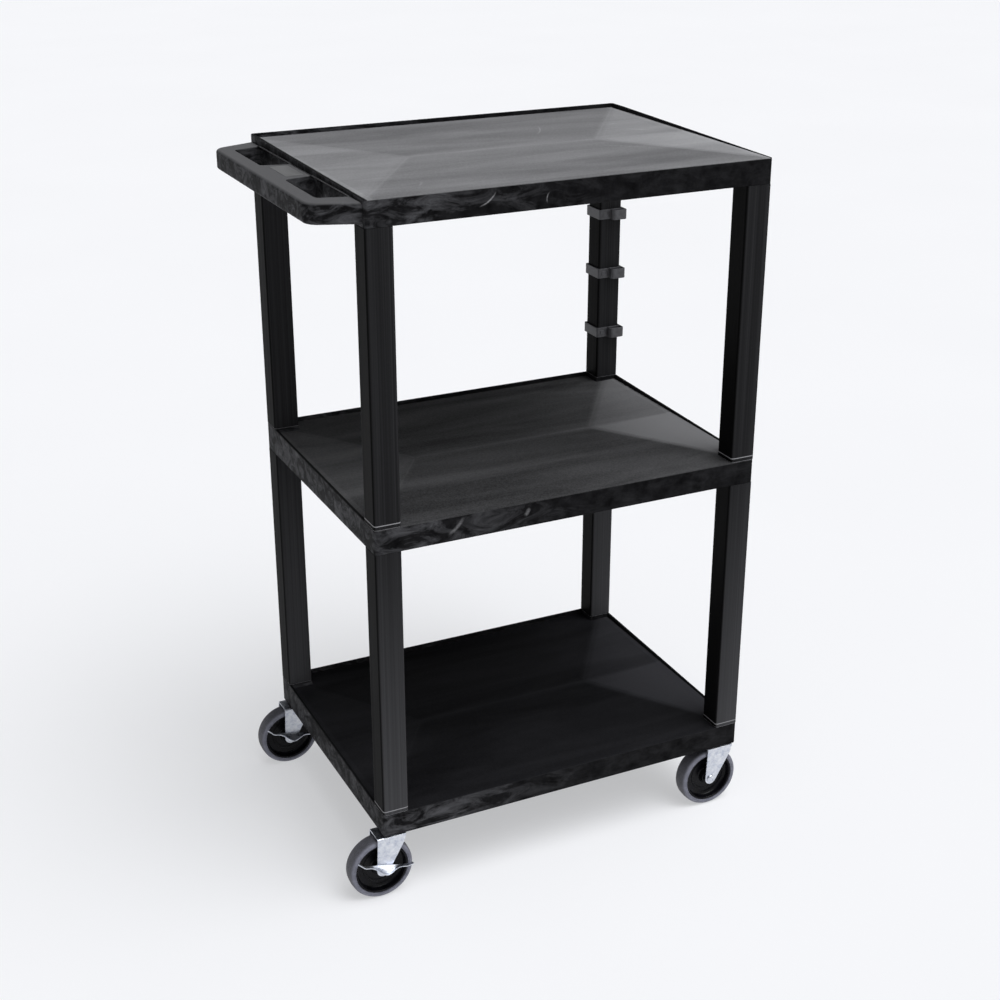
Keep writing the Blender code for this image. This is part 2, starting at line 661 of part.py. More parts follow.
def main():
    clear_scene()
    materials = {
        "black_plastic": make_material("black_plastic", (0.022, 0.022, 0.024), 0.55),
        "leg_plastic": make_material("leg_plastic", (0.018, 0.018, 0.019), 0.40),
        "clip_plastic": make_material("clip_plastic", (0.060, 0.060, 0.063), 0.50),
        "hub_plastic": make_material("hub_plastic", (0.012, 0.012, 0.015), 0.35),
        "grey_rubber": make_material("grey_rubber", (0.110, 0.110, 0.125), 0.55),
        "zinc_plate": make_material("zinc_plate", (0.620, 0.630, 0.660), 0.30, 1.0),
    }
    for level in DECK_HEIGHTS:
        shelf = make_shelf(level, materials["black_plastic"])
        if level == "top":
            add_handle(shelf, DECK_HEIGHTS[level])
    make_legs(materials["leg_plastic"])
    make_clips(materials["clip_plastic"])
    meshes = shared_meshes()
    for place_name, (side, depth) in CASTERS.items():
        make_caster(place_name, side, depth, materials, meshes)


main()
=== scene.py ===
import json
import math
from functools import partial

import bmesh
import bpy
from mathutils import Matrix, Vector, noise

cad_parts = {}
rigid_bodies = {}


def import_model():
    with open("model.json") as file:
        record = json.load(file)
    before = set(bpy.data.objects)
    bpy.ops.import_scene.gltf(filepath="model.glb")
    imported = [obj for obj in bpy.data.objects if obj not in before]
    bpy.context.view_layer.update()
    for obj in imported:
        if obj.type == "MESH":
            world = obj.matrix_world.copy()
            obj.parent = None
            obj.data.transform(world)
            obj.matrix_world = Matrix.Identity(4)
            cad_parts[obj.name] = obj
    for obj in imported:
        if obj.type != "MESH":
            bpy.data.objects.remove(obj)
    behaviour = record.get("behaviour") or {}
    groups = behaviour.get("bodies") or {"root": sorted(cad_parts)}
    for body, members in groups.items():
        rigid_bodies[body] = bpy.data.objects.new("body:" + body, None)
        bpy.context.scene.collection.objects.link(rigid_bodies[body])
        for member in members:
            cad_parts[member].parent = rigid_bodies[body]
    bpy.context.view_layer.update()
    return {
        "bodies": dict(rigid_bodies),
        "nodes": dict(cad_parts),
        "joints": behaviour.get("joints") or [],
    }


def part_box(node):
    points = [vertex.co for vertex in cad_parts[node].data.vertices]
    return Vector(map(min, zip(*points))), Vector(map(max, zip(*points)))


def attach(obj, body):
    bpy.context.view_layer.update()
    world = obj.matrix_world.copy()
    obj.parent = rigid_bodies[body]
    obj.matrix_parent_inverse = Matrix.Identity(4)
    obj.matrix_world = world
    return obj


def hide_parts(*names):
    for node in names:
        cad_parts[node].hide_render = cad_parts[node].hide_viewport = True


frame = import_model()
print("frame: the packed cart is loaded, with", len(frame["nodes"]), "nodes")

mm = 0.001
places = ("front_left", "front_right", "rear_left", "rear_right")


def toLinear(hexText):
    # an sRGB hex colour as the linear colour that shaders work in
    channels = [int(hexText[i:i + 2], 16) / 255 for i in (1, 3, 5)]
    linear = [c / 12.92 if c <= 0.04045 else ((c + 0.055) / 1.055) ** 2.4 for c in channels]
    return (*linear, 1.0)


def perMm(*sizes):
    # pattern scales whose features are about these sizes in millimetres
    scales = tuple(1.0 / (size * mm) for size in sizes)
    return scales if len(scales) > 1 else scales[0]


def addNode(tree, kind, settings=None, links=None, output=0):
    # Adds one node with its settings (options, colour stops or socket values) and what feeds its sockets.
    # MapRange takes its value from socket 0, goes from the range in 1 and 2, and to the one in 3 and 4.
    node = tree.nodes.new("ShaderNode" + kind)
    for key, value in (settings or {}).items():
        if key == "stops":
            for element, (position, colour) in zip(node.color_ramp.elements, value):
                element.position, element.color = position, toLinear(colour)
        elif isinstance(key, str) and hasattr(node, key):
            setattr(node, key, value)
        else:
            node.inputs[key].default_value = value
    for key, source in (links or {}).items():
        tree.links.new(source, node.inputs[key])
    return node.outputs[output]


def weighed(add, shares):
    # the sum of several patterns, each times its share
    total = None
    for source, share in shares:
        links = {0: source} if total is None else {0: source, 2: total}
        total = add("Math", {"operation": "MULTIPLY_ADD", 1: share, 2: 0.0}, links)
    return total


times = {"operation": "MULTIPLY"}
gloss = "Specular IOR Level"


def newMaterial(name, settings):
    # a material, with these values on its shader's sockets, how to add nodes to it, and the place in it
    material = bpy.data.materials.new(name)
    material.use_nodes = True
    tree = material.node_tree
    shader = tree.nodes["Principled BSDF"]
    for socket, value in settings.items():
        shader.inputs[socket].default_value = value
    add = partial(addNode, tree)
    return material, add, shader, add("TexCoord", output="Object")


def finishShader(shader, tone, pattern, roughness, reliefs):
    # links the colour, a sheen that wanders with a pattern, and bumps: (pattern, strength, millimetres)
    tree = shader.id_data
    sheen = {1: 0.3, 2: 0.7, 3: roughness[0], 4: roughness[1]}
    tree.links.new(tone, shader.inputs["Base Color"])
    tree.links.new(addNode(tree, "MapRange", sheen, {0: pattern}), shader.inputs["Roughness"])
    normal = {}
    for height, strength, depth in reliefs:
        bump = {"Strength": strength, "Distance": depth * mm}
        normal = {"Normal": addNode(tree, "Bump", bump, {"Height": height, **normal})}
    tree.links.new(normal["Normal"], shader.inputs["Normal"])


# Marks on the shelves where a bag, a cable or another cart has rubbed pale lines into the black: the face,
# the middle (metres from the left, and from the front or the floor), the length and width in millimetres, the
# lean in degrees, the bend in millimetres, and how pale.
scuffs = [
    ("front", 0.176, 1.055, 34, 3.2, 36, 4, 0.50),
    ("front", 0.262, 1.052, 18, 3.0, 76, -3, 0.30),
    ("front", 0.236, 0.598, 16, 9.0, 60, 0, 0.30),
    ("front", 0.125, 0.596, 40, 8.0, 44, 3, 0.24),
    ("deck", 0.105, 0.060, 34, 5.0, 62, 2, 0.22),
    ("deck", 0.420, 0.330, 74, 3.4, 62, 6, 0.36),
    ("deck", 0.475, 0.165, 96, 4.0, -38, -3, 0.34),
    ("deck", 0.560, 0.270, 60, 6.0, -40, 4, 0.30),
    ("deck", 0.545, 0.330, 26, 7.0, 4, 0, 0.22),
    ("deck", 0.175, 0.400, 40, 3.0, 2, -2, 0.26),
]


def scuffMask(add, place, scuff, ragged):
    # one soft-edged curved mark in its own plane, broken up by the ragged pattern
    face, across, up, long, wide, lean, bend, pale = scuff
    onFront = face == "front"
    middle = (left + across, 0.0, up) if onFront else (left + across, front + up, 0.0)
    lean = math.radians(lean)
    turn = (0.0, -lean, 0.0) if onFront else (0.0, 0.0, lean)
    local = add("Mapping", {"vector_type": "TEXTURE", "Location": middle, "Rotation": turn},
                    {"Vector": place})
    along = add("SeparateXYZ", None, {0: local}, 0)
    side = add("SeparateXYZ", None, {0: local}, 2 if onFront else 1)
    half = long * mm / 2
    squared = add("Math", times, {0: along, 1: along})
    bowed = add("Math", {"operation": "MULTIPLY_ADD", 1: -bend * mm / half ** 2}, {0: squared, 2: side})
    mark = ragged
    for source, start, finish in ((bowed, 0.0, wide * mm / 2), (along, 0.2 * half, half)):
        size = add("Math", {"operation": "ABSOLUTE"}, {0: source})
        fades = {"interpolation_type": "SMOOTHSTEP", 1: start, 2: finish,
                 3: pale if source is bowed else 1.0, 4: 0.0}
        mark = add("Math", times, {0: mark, 1: add("MapRange", fades, {0: size})})
    return mark


# How the decks are toned, as shares of the tone between the darkest and the palest. Grain and dust are
# the decks' own; the sheen, the facets' light and shade, the crease highlights and the right ends are painted
# light.
deckLook = {
    "dark": "#565657", "pale": "#b4b4b5", "middleShadedDark": "#0e0e0f", "middleShadedPale": "#7e7e7f",
    "bottomShadedDark": "#040405", "bottomShadedPale": "#37373a",
    "grain": 0.26, "cloud": 0.26, "endFacetLight": 0.13, "rightEndLight": 0.26, "rightEndLightBelow": 0.65, "creaseHighlight": 0.07,
    "border": 0.10, "borderWide": 0.013,
}


def deckTone(add, place, grain):
    # The ribs show through as an envelope: creases from the corners to two points on the middle line, and one
    # between those, part a deck into facets. Each facet gets painted light and shade of its own, the creases
    # a painted highlight, and the right end more painted light.
    halfLong, halfWide = (right - left) / 2, (rear - front) / 2
    middle = (left + halfLong, front + halfWide, 0.0)
    centred = add("VectorMath", {"operation": "SUBTRACT", 1: middle}, {0: place})
    x, y = (add("SeparateXYZ", None, {0: centred}, axis) for axis in (0, 1))
    outX, outY = (add("Math", {"operation": "ABSOLUTE"}, {0: axis}) for axis in (x, y))
    endShare = add("MapRange", {1: halfLong - shelf["sinkMeet"], 2: halfLong}, {0: outX})
    sideShare = add("MapRange", {1: 0.0, 2: halfWide}, {0: outY})
    fold = add("Math", {"operation": "SUBTRACT"}, {0: endShare, 1: sideShare})
    endFacetLight = add("MapRange", {1: -0.06, 2: 0.07}, {0: fold})
    nearFold = add("Math", {"operation": "ABSOLUTE"}, {0: fold})
    creaseHighlight = add("MapRange", {1: 0.0, 2: 0.022, 3: 1.0, 4: 0.0},
                     {0: nearFold})
    rightHand = add("MapRange", {1: 0.0, 2: halfLong}, {0: x})
    frontHand = add("MapRange", {1: 0.006, 2: -0.006, 3: 0.35}, {0: y})
    rightEndLight = add("Math", times, {0: rightHand, 1: frontHand})
    rightEndLight = add("Math", times, {0: rightEndLight, 1: endFacetLight})
    edge = halfLong - deckLook["borderWide"]
    border = add("MapRange", {1: edge - 1.5 * mm, 2: edge + 0.5 * mm}, {0: outX})
    # broad streaks drawn long along the deck, as a painted sheen of light
    drawn = add("Mapping", {"Scale": perMm(420, 75, 300)}, {"Vector": place})
    cloud = add("TexNoise", {"Scale": 1.0, "Detail": 3.0, "Roughness": 0.6, "Distortion": 0.6},
                    {"Vector": drawn})
    cloud = add("MapRange", {1: 0.30, 2: 0.70}, {0: cloud})
    shares = [(grain, "grain"), (cloud, "cloud"), (endFacetLight, "endFacetLight"), (rightEndLight, "rightEndLight"), (creaseHighlight, "creaseHighlight"),
              (border, "border")]
    value = weighed(add, [(source, deckLook[name]) for source, name in shares])
    # painted shade: the decks under the top one get darker, shaded copies of its tone, with painted light on
    # their right ends
    height = add("SeparateXYZ", None, {0: place}, 2)
    below = add("Math", {"operation": "MULTIPLY_ADD", 1: deckLook["rightEndLightBelow"]}, {0: rightEndLight, 2: value})
    lowest = [(0.0, deckLook["bottomShadedDark"]), (1.0, deckLook["bottomShadedPale"])]
    tone = add("ValToRGB", {"stops": lowest}, {0: below})
    for level, dark, pale in (("middle", "middleShadedDark", "middleShadedPale"), ("top", "dark", "pale")):
        isAbove = add("Math", {"operation": "GREATER_THAN", 1: decks[level] - 15 * mm}, {0: height})
        source = value if level == "top" else below
        here = add("ValToRGB", {"stops": [(0.0, deckLook[dark]), (1.0, deckLook[pale])]}, {0: source})
        tone = add("Mix", {"data_type": "RGBA"}, {0: isAbove, 6: tone, 7: here}, 2)
    # the lip tops are left out of the decks' tone and its painted light, and take the black of the skirts
    lip = shelf["lipWall"]
    onSide = add("MapRange", {1: halfLong - lip - 0.6 * mm, 2: halfLong - lip}, {0: outX})
    onRear = add("MapRange", {1: halfWide - lip - 0.6 * mm, 2: halfWide - lip}, {0: y})
    onLip = add("Math", {"operation": "MAXIMUM"}, {0: onSide, 1: onRear})
    return add("Mix", {"data_type": "RGBA", 7: toLinear("#161617")}, {0: onLip, 6: tone}, 2)


def skirtTone(add, place):
    # near-black with cloudy marbling where the melt flowed, strongest at the left ends
    mottle = add("TexNoise", {"Scale": perMm(17), "Detail": 4.0, "Roughness": 0.65}, {"Vector": place})
    slant = (0, math.radians(-20), 0)
    drawn = add("Mapping", {"Scale": perMm(60, 26, 22), "Rotation": slant}, {"Vector": place})
    swirl = add("TexNoise", {"Scale": 1.0, "Detail": 6.0, "Roughness": 0.68, "Distortion": 1.2},
                    {"Vector": drawn})
    x = add("SeparateXYZ", None, {0: place}, 0)
    leftHand = add("MapRange", {1: left + 0.06, 2: left + 0.34, 3: 1.0, 4: 0.12},
                       {0: x})
    swirl = add("MapRange", {1: 0.44, 2: 0.80}, {0: swirl})
    swirl = add("Math", times, {0: swirl, 1: leftHand})
    mottle = add("MapRange", {1: 0.32, 2: 0.70}, {0: mottle})
    value = weighed(add, [(mottle, 0.07), (swirl, 0.80)])
    return add("ValToRGB", {"stops": [(0.0, "#060607"), (1.0, "#656568")]}, {0: value})


def mouldedPolyethylene():
    # Injection-moulded black polyethylene: deep black skirts with a soft sheen and pale melt swirls, and
    # decks drawn grey, partly dust on their coarse eroded grain and partly painted light from above.
    material, add, shader, place = newMaterial("mouldedPolyethylene", {"IOR": 1.51, gloss: 0.03})
    # painted light: faces turned up take the pale deck tone, faces to the side the near-black skirt tone
    facingUp = add("SeparateXYZ", None, {0: add("NewGeometry", output="Normal")}, 2)
    upwards = add("MapRange", {1: 0.30, 2: 0.98}, {0: facingUp})
    # the real grain is near 0.5 mm, drawn coarser so that it shows
    grain = add("TexNoise", {"Scale": perMm(2.6), "Detail": 5.0, "Roughness": 0.72}, {"Vector": place})
    fine = add("TexNoise", {"Scale": perMm(0.9), "Detail": 2.0}, {"Vector": place})
    speckle = add("MapRange", {1: 0.30, 2: 0.72}, {0: grain})
    deck = deckTone(add, place, speckle)
    # painted light: the handle's tops get a grey of their own, lighter than its black sides and darker than
    # the decks
    x, height = (add("SeparateXYZ", None, {0: place}, axis) for axis in (0, 2))
    onHandle = add("MapRange", {1: left + 1.0 * mm, 2: left - 1.0 * mm}, {0: x})
    deck = add("Mix", {"data_type": "RGBA", 7: toLinear("#5c5c5d")}, {0: onHandle, 6: deck}, 2)
    tone = add("Mix", {"data_type": "RGBA"}, {0: upwards, 6: skirtTone(add, place), 7: deck}, 2)
    ragged = add("MapRange", {1: 0.30, 2: 0.62, 3: 0.15}, {0: grain})
    sideways = add("Math", {"operation": "SUBTRACT", 0: 1.0}, {1: upwards})
    highest = add("Math", {"operation": "GREATER_THAN", 1: decks["top"] - 5 * mm}, {0: height})
    onTop = add("Math", times, {0: upwards, 1: highest})
    for scuff in scuffs:
        mark = scuffMask(add, place, scuff, ragged)
        where = sideways if scuff[0] == "front" else onTop
        mark = add("Math", times, {0: mark, 1: where})
        tone = add("Mix", {"data_type": "RGBA", 7: toLinear("#c9c9cb")}, {0: mark, 6: tone}, 2)
    finishShader(shader, tone, grain, (0.46, 0.60), [(grain, 0.5, 0.20), (fine, 0.5, 0.08)])
    return material


def extrudedTube(feet):
    # Extruded black plastic tube: smooth satin sides with faint lengthwise draw lines left by the die, dust,
    # painted shade that keeps the sides facing the handle deep black, and a painted highlight as a pale line
    # round each foot.
    material, add, shader, place = newMaterial("extrudedBlackTube", {"IOR": 1.5, gloss: 0.02})
    drawn = add("Mapping", {"Scale": perMm(2.6, 2.6, 900)}, {"Vector": place})
    lines = add("TexNoise", {"Scale": 1.0, "Detail": 3.0, "Roughness": 0.6}, {"Vector": drawn})
    dust = add("TexNoise", {"Scale": perMm(3.0), "Detail": 5.0, "Roughness": 0.7}, {"Vector": place})
    streaks = add("MapRange", {1: 0.36, 2: 0.68}, {0: lines})
    dusty = add("MapRange", {1: 0.66, 2: 0.80}, {0: dust})
    height = add("SeparateXYZ", None, {0: place}, 2)
    isLow = add("MapRange", {1: decks["middle"], 2: decks["bottom"]}, {0: height})
    value = weighed(add, [(streaks, 0.16), (dusty, 0.35), (isLow, 0.45)])
    tone = add("ValToRGB", {"stops": [(0.0, "#1d1d1e"), (1.0, "#525254")]}, {0: value})
    # painted shade: the sides facing the handle, away from the light, are drawn deep black
    sideways = add("SeparateXYZ", None, {0: add("NewGeometry", output="Normal")}, 0)
    shadedSide = add("MapRange", {1: -0.35, 2: -0.85, 4: 0.92}, {0: sideways})
    tone = add("Mix", {"data_type": "RGBA", 7: toLinear("#040404")}, {0: shadedSide, 6: tone}, 2)
    # a pale line painted round each foot as an edge highlight
    for foot in feet:
        atFoot = add("Math", {"operation": "COMPARE", 1: foot, 2: leg["footHighlight"]}, {0: height})
        tone = add("Mix", {"data_type": "RGBA", 7: toLinear("#8c8c8e")}, {0: atFoot, 6: tone}, 2)
    finishShader(shader, tone, lines, (0.42, 0.55), [(lines, 0.5, 0.06)])
    return material


def simplePlastic(name, settings, size, dark, pale, roughness, relief):
    # A smooth moulded plastic: cloudy between two tones, a sheen that wanders, and a faint moulded grain.
    material, add, shader, place = newMaterial(name, settings)
    cloud = add("TexNoise", {"Scale": perMm(size), "Detail": 4.0, "Roughness": 0.6}, {"Vector": place})
    grain = add("TexNoise", {"Scale": perMm(1.4), "Detail": 3.0, "Roughness": 0.65}, {"Vector": place})
    tone = add("ValToRGB", {"stops": [(0.30, dark), (0.70, pale)]}, {0: cloud})
    finishShader(shader, tone, cloud, roughness, [(cloud, 0.4, relief), (grain, 0.5, 0.05)])
    return material


def mouldedAcetal():
    # Moulded dark grey acetal for the clips: a shade lighter than the legs, satin, faintly grained.
    return simplePlastic("mouldedGreyAcetal", {"IOR": 1.48, gloss: 0.35}, 9.0, "#3a3a3c", "#505053",
                         (0.40, 0.52), 0.05)


def mouldedPolypropylene():
    # Injection-moulded black polypropylene for the hubs: blue-black and fairly glossy, with slow waves that
    # bend its reflections.
    return simplePlastic("mouldedPolypropylene", {"IOR": 1.49, gloss: 0.14}, 14.0, "#050507", "#0d0d12",
                         (0.24, 0.34), 0.3)


def mouldedNylon():
    # Moulded black nylon for the stem sockets: nearly matte, with a faint sheen on its rims.
    return simplePlastic("mouldedNylon", {"IOR": 1.53, gloss: 0.4}, 5.0, "#0e0e0e", "#1b1b1c",
                         (0.45, 0.60), 0.05)


def greyRubber():
    # Non-marking thermoplastic rubber: soft blue-grey, nearly matte, with floor dirt on the tread.
    material, add, shader, place = newMaterial("greyThermoplasticRubber", {"IOR": 1.5, gloss: 0.35})
    flat = add("VectorMath", {"operation": "MULTIPLY", 1: (1, 0, 1)}, {0: place})
    away = add("VectorMath", {"operation": "LENGTH"}, {0: flat}, "Value")
    tread = add("MapRange", {1: 48.3 * mm, 2: 50.4 * mm}, {0: away})
    cloud = add("TexNoise", {"Scale": perMm(8), "Detail": 4.0, "Roughness": 0.6}, {"Vector": place})
    speck = add("TexNoise", {"Scale": perMm(1.2), "Detail": 4.0, "Roughness": 0.7}, {"Vector": place})
    tone = add("ValToRGB", {"stops": [(0.32, "#64656f"), (0.70, "#7b7c87")]}, {0: cloud})
    patchy = add("MapRange", {1: 0.30, 2: 0.62, 3: 0.35, 4: 0.95}, {0: speck})
    dirt = add("Math", times, {0: tread, 1: patchy})
    tone = add("Mix", {"data_type": "RGBA", 7: toLinear("#3b3a3c")}, {0: dirt, 6: tone}, 2)
    finishShader(shader, tone, speck, (0.50, 0.65), [(speck, 0.6, 0.07)])
    return material


def brightZinc():
    # Bright zinc-plated pressed steel: pale blue-white, softly mirrored, with cloudy spangle and a rolled
    # grain.
    material, add, shader, place = newMaterial("brightZincPlate", {"Metallic": 1.0})
    cloud = add("TexNoise", {"Scale": perMm(7), "Detail": 4.0, "Roughness": 0.6}, {"Vector": place})
    drawn = add("Mapping", {"Scale": perMm(14, 14, 0.7)}, {"Vector": place})
    rolled = add("TexNoise", {"Scale": 1.0, "Detail": 2.0}, {"Vector": drawn})
    tone = add("ValToRGB", {"stops": [(0.30, "#b9bfcc"), (0.70, "#e4e6ea")]}, {0: cloud})
    finishShader(shader, tone, cloud, (0.24, 0.38), [(rolled, 0.4, 0.03)])
    return material


def arcPoints(centre, radius, start, end, steps):
    angles = [math.radians(start + (end - start) * i / steps) for i in range(steps + 1)]
    return [(centre[0] + radius * math.cos(a), centre[1] + radius * math.sin(a)) for a in angles]


def roundedCorners(corners, radius, steps=6):
    # closed outline with its corners rounded; radius may be one for all or a list
    points = []
    for i, corner in enumerate(corners):
        here = Vector(corner)
        size = radius[i] if isinstance(radius, (list, tuple)) else radius
        if size == 0:
            points.append(tuple(here))
            continue
        before = (Vector(corners[i - 1]) - here).normalized() * size
        after = (Vector(corners[(i + 1) % len(corners)]) - here).normalized() * size
        for step in range(steps + 1):
            t = step / steps
            points.append(tuple(here + before * (1 - t) ** 2 + after * t ** 2))
    return points


def rectangle(x0, y0, x1, y1):
    return [(x0, y0), (x1, y0), (x1, y1), (x0, y1)]


def insetOutline(outline, distance):
    # every side of an anticlockwise outline moved inwards by this distance
    moved = []
    for i, here in enumerate(outline):
        sides = []
        for a, b in ((outline[i - 1], here), (here, outline[(i + 1) % len(outline)])):
            side = Vector(b) - Vector(a)
            sides.append(Vector((-side.y, side.x)).normalized())
        mitre = (sides[0] + sides[1]) / max(0.3, 1 + sides[0].dot(sides[1]))
        moved.append((here[0] + mitre.x * distance, here[1] + mitre.y * distance))
    return moved


def addFace(bm, corners):
    # a face without the corners that are given twice, if it still has three
    kept = list(dict.fromkeys(corners))
    if len(kept) > 2:
        bm.faces.new(kept)


def bridge(bm, first, second):
    # faces between two closed loops with the same number of points
    for i in range(len(first)):
        j = (i + 1) % len(first)
        addFace(bm, (first[i], first[j], second[j], second[i]))


def roundedPlate(outlines, low, high, radius, steps=3):
    # a plate in XY with holes, whose upper and lower edges are all rounded; the first outline is the outside
    bm = bmesh.new()
    rims = ([], [])
    for number, outline in enumerate(outlines):
        size = radius[number] if isinstance(radius, (list, tuple)) else radius
        inwards = 1 if number == 0 else -1
        quarter = [math.pi / 2 * i / steps for i in range(steps + 1)]
        levels = [(size * (1 - math.sin(a)), low + size * (1 - math.cos(a))) for a in quarter]
        levels += [(size * (1 - math.cos(a)), high - size * (1 - math.sin(a))) for a in quarter]
        loops = [[bm.verts.new((x, y, z)) for x, y in insetOutline(outline, inwards * d)] for d, z in levels]
        for first, second in zip(loops, loops[1:]):
            bridge(bm, first, second)
        rims[0].append(loops[0])
        rims[1].append(loops[-1])
    for rim in rims:
        if len(rim) == 1:
            bm.faces.new(rim[0])
            continue
        edges = [bm.edges.get((loop[i - 1], loop[i])) for loop in rim for i in range(len(loop))]
        bmesh.ops.triangle_fill(bm, edges=edges, use_beauty=True, use_dissolve=False)
    return bm


def lathe(profile, steps=96):
    # a ring turned about Y from a closed profile of (radius, y) points
    bm = bmesh.new()
    rings = []
    for step in range(steps):
        a = 2 * math.pi * step / steps
        rings.append([bm.verts.new((r * math.cos(a), y, r * math.sin(a))) for r, y in profile])
    for step in range(steps):
        bridge(bm, rings[step], rings[(step + 1) % steps])
    bmesh.ops.remove_doubles(bm, verts=bm.verts, dist=1e-6)
    return bm


def turned(bm, angle, axis):
    bmesh.ops.rotate(bm, verts=bm.verts, cent=(0, 0, 0), matrix=Matrix.Rotation(angle, 3, axis))
    return bm


def upright(bm):
    # a plate drawn in X and Y stands in X and Z, and its thickness runs along -Y
    return turned(bm, math.pi / 2, "X")


def moved(bm, offset):
    bmesh.ops.translate(bm, verts=bm.verts, vec=offset)
    return bm


def joined(shapes):
    # several closed shapes in one mesh
    whole = shapes[0]
    for extra in shapes[1:]:
        mesh = bpy.data.meshes.new("joining")
        extra.to_mesh(mesh)
        extra.free()
        whole.from_mesh(mesh)
        bpy.data.meshes.remove(mesh)
    return whole


def toMesh(name, bm, sharp=38):
    bmesh.ops.recalc_face_normals(bm, faces=bm.faces)
    mesh = bpy.data.meshes.new(name)
    bm.to_mesh(mesh)
    bm.free()
    mesh.shade_smooth()
    mesh.set_sharp_from_angle(angle=math.radians(sharp))
    return mesh


def addPiece(name, mesh, finish, body, replaced=(), at=(0, 0, 0), tilt=0.0):
    # puts a mesh in the scene, riding on its body and standing for the CAD nodes named
    piece = bpy.data.objects.new(name, mesh)
    bpy.context.scene.collection.objects.link(piece)
    if not mesh.materials:
        mesh.materials.append(finish)
    piece.location = at
    piece.rotation_euler = (0, tilt, 0)
    shading = piece.modifiers.new("evenShading", "WEIGHTED_NORMAL")
    shading.keep_sharp = True
    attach(piece, body)
    if replaced:
        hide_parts(*replaced)
    return piece


# Sizes the shelves share, in metres. Their places come from the frame.
shelf = {
    "skirtDepth": 0.0370, "deckThickness": 0.0040, "skirtWall": 0.0035,
    "lipHeight": 0.0065, "lipWall": 0.0045, "corner": 0.0055,
    "peg": 0.0250, "pegSide": 0.0346, "frontEdge": 0.0018, "lipEdge": 0.0014, "lipInnerEdge": 0.0012,
    "lowerEdge": 0.0008, "legPad": 0.0404, "gridStep": 0.0045, "sinkDepth": 0.00030, "sinkWidth": 0.0045,
    "sinkMeet": 0.160, "ripple": 0.00010, "borderWide": 0.0130, "borderRise": 0.00030,
}
shelfLow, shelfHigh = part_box("middle_shelf")
left, front, right, rear = shelfLow.x, shelfLow.y, shelfHigh.x, shelfHigh.y
decks = {
    "bottom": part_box("bottom_shelf")[0].z + shelf["skirtDepth"],
    "middle": shelfLow.z + shelf["peg"] + shelf["skirtDepth"],
    "top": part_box("top_shelf")[1].z - shelf["lipHeight"],
}


def smoothStep(value):
    t = min(1.0, max(0.0, value))
    return t * t * (3 - 2 * t)


def gridLines(low, high, edges):
    # evenly spaced lines, with a close set of them round each edge that the deck steps up at
    count = round((high - low) / shelf["gridStep"])
    near = [e + k * 0.3 * mm for e in edges for k in range(-3, 4)]
    lines = [low + (high - low) * i / count for i in range(count + 1)]
    kept = [v for v in lines if all(abs(v - e) > 1.6 * mm for e in edges)]
    return sorted(kept + near)


def padHeight(level, x, y):
    # the rear legs of the two lower shelves stand on square pads at the height of the lip
    if level == "top":
        return 0.0
    size, soft = shelf["legPad"], 0.9 * mm
    fromSide = min(x - left, right - x)
    inX = smoothStep((size - fromSide) / (2 * soft) + 0.5)
    inY = smoothStep((size - (rear - y)) / (2 * soft) + 0.5)
    return shelf["lipHeight"] * min(inX, inY)


def sinkLines():
    # shallow sink marks over the ribs: from each corner and each short side to two points on the mid-line
    middle = (front + rear) / 2
    lines = []
    for side, inwards in ((left, 1), (right, -1)):
        meet = Vector((side + inwards * shelf["sinkMeet"], middle))
        starts = [(side, front), (side, rear), (side, middle)]
        lines += [(Vector(start), meet) for start in starts]
    return lines


def nearLine(point, line):
    start, end = line
    run = end - start
    t = min(1.0, max(0.0, (point - start).dot(run) / run.length_squared))
    return (point - start - run * t).length


def deckRelief(x, y, lines):
    point = Vector((x, y))
    sink = sum(math.exp(-(nearLine(point, line) / shelf["sinkWidth"]) ** 2) for line in lines)
    ripple = noise.noise(Vector((x / 0.035, y / 0.020, 0.0)))
    fade = smoothStep(min(x - left, right - x, y - front, rear - y) / 0.025 - 0.2)
    border = smoothStep((shelf["borderWide"] - min(x - left, right - x)) / 0.005 + 0.5)
    border *= smoothStep((min(x - left, right - x) - shelf["corner"]) / 0.003)
    relief = ripple * shelf["ripple"] - min(sink, 1.2) * shelf["sinkDepth"]
    return fade * relief + border * shelf["borderRise"]


def lipShare(level, y):
    # the side lips rise steadily from nothing at the front to full height at the rear legs
    rise = min(1.0, max(0.0, (y - front) / (rear - front - shelf["legPad"])))
    padEnd = front + shelf["legPad"] + 0.3 * mm
    return rise if level == "top" else rise * smoothStep((y - padEnd) / (0.6 * mm))


def quarterRound(start, end, concave, steps=4):
    # (inset, height) points on a quarter turn; a concave one starts level, a convex one ends level
    points = []
    for i in range(1, steps + 1):
        a = math.pi / 2 * i / steps
        t, u = (math.sin(a), 1 - math.cos(a)) if concave else (1 - math.cos(a), math.sin(a))
        points.append((start[0] + (end[0] - start[0]) * t, start[1] + (end[1] - start[1]) * u))
    return points


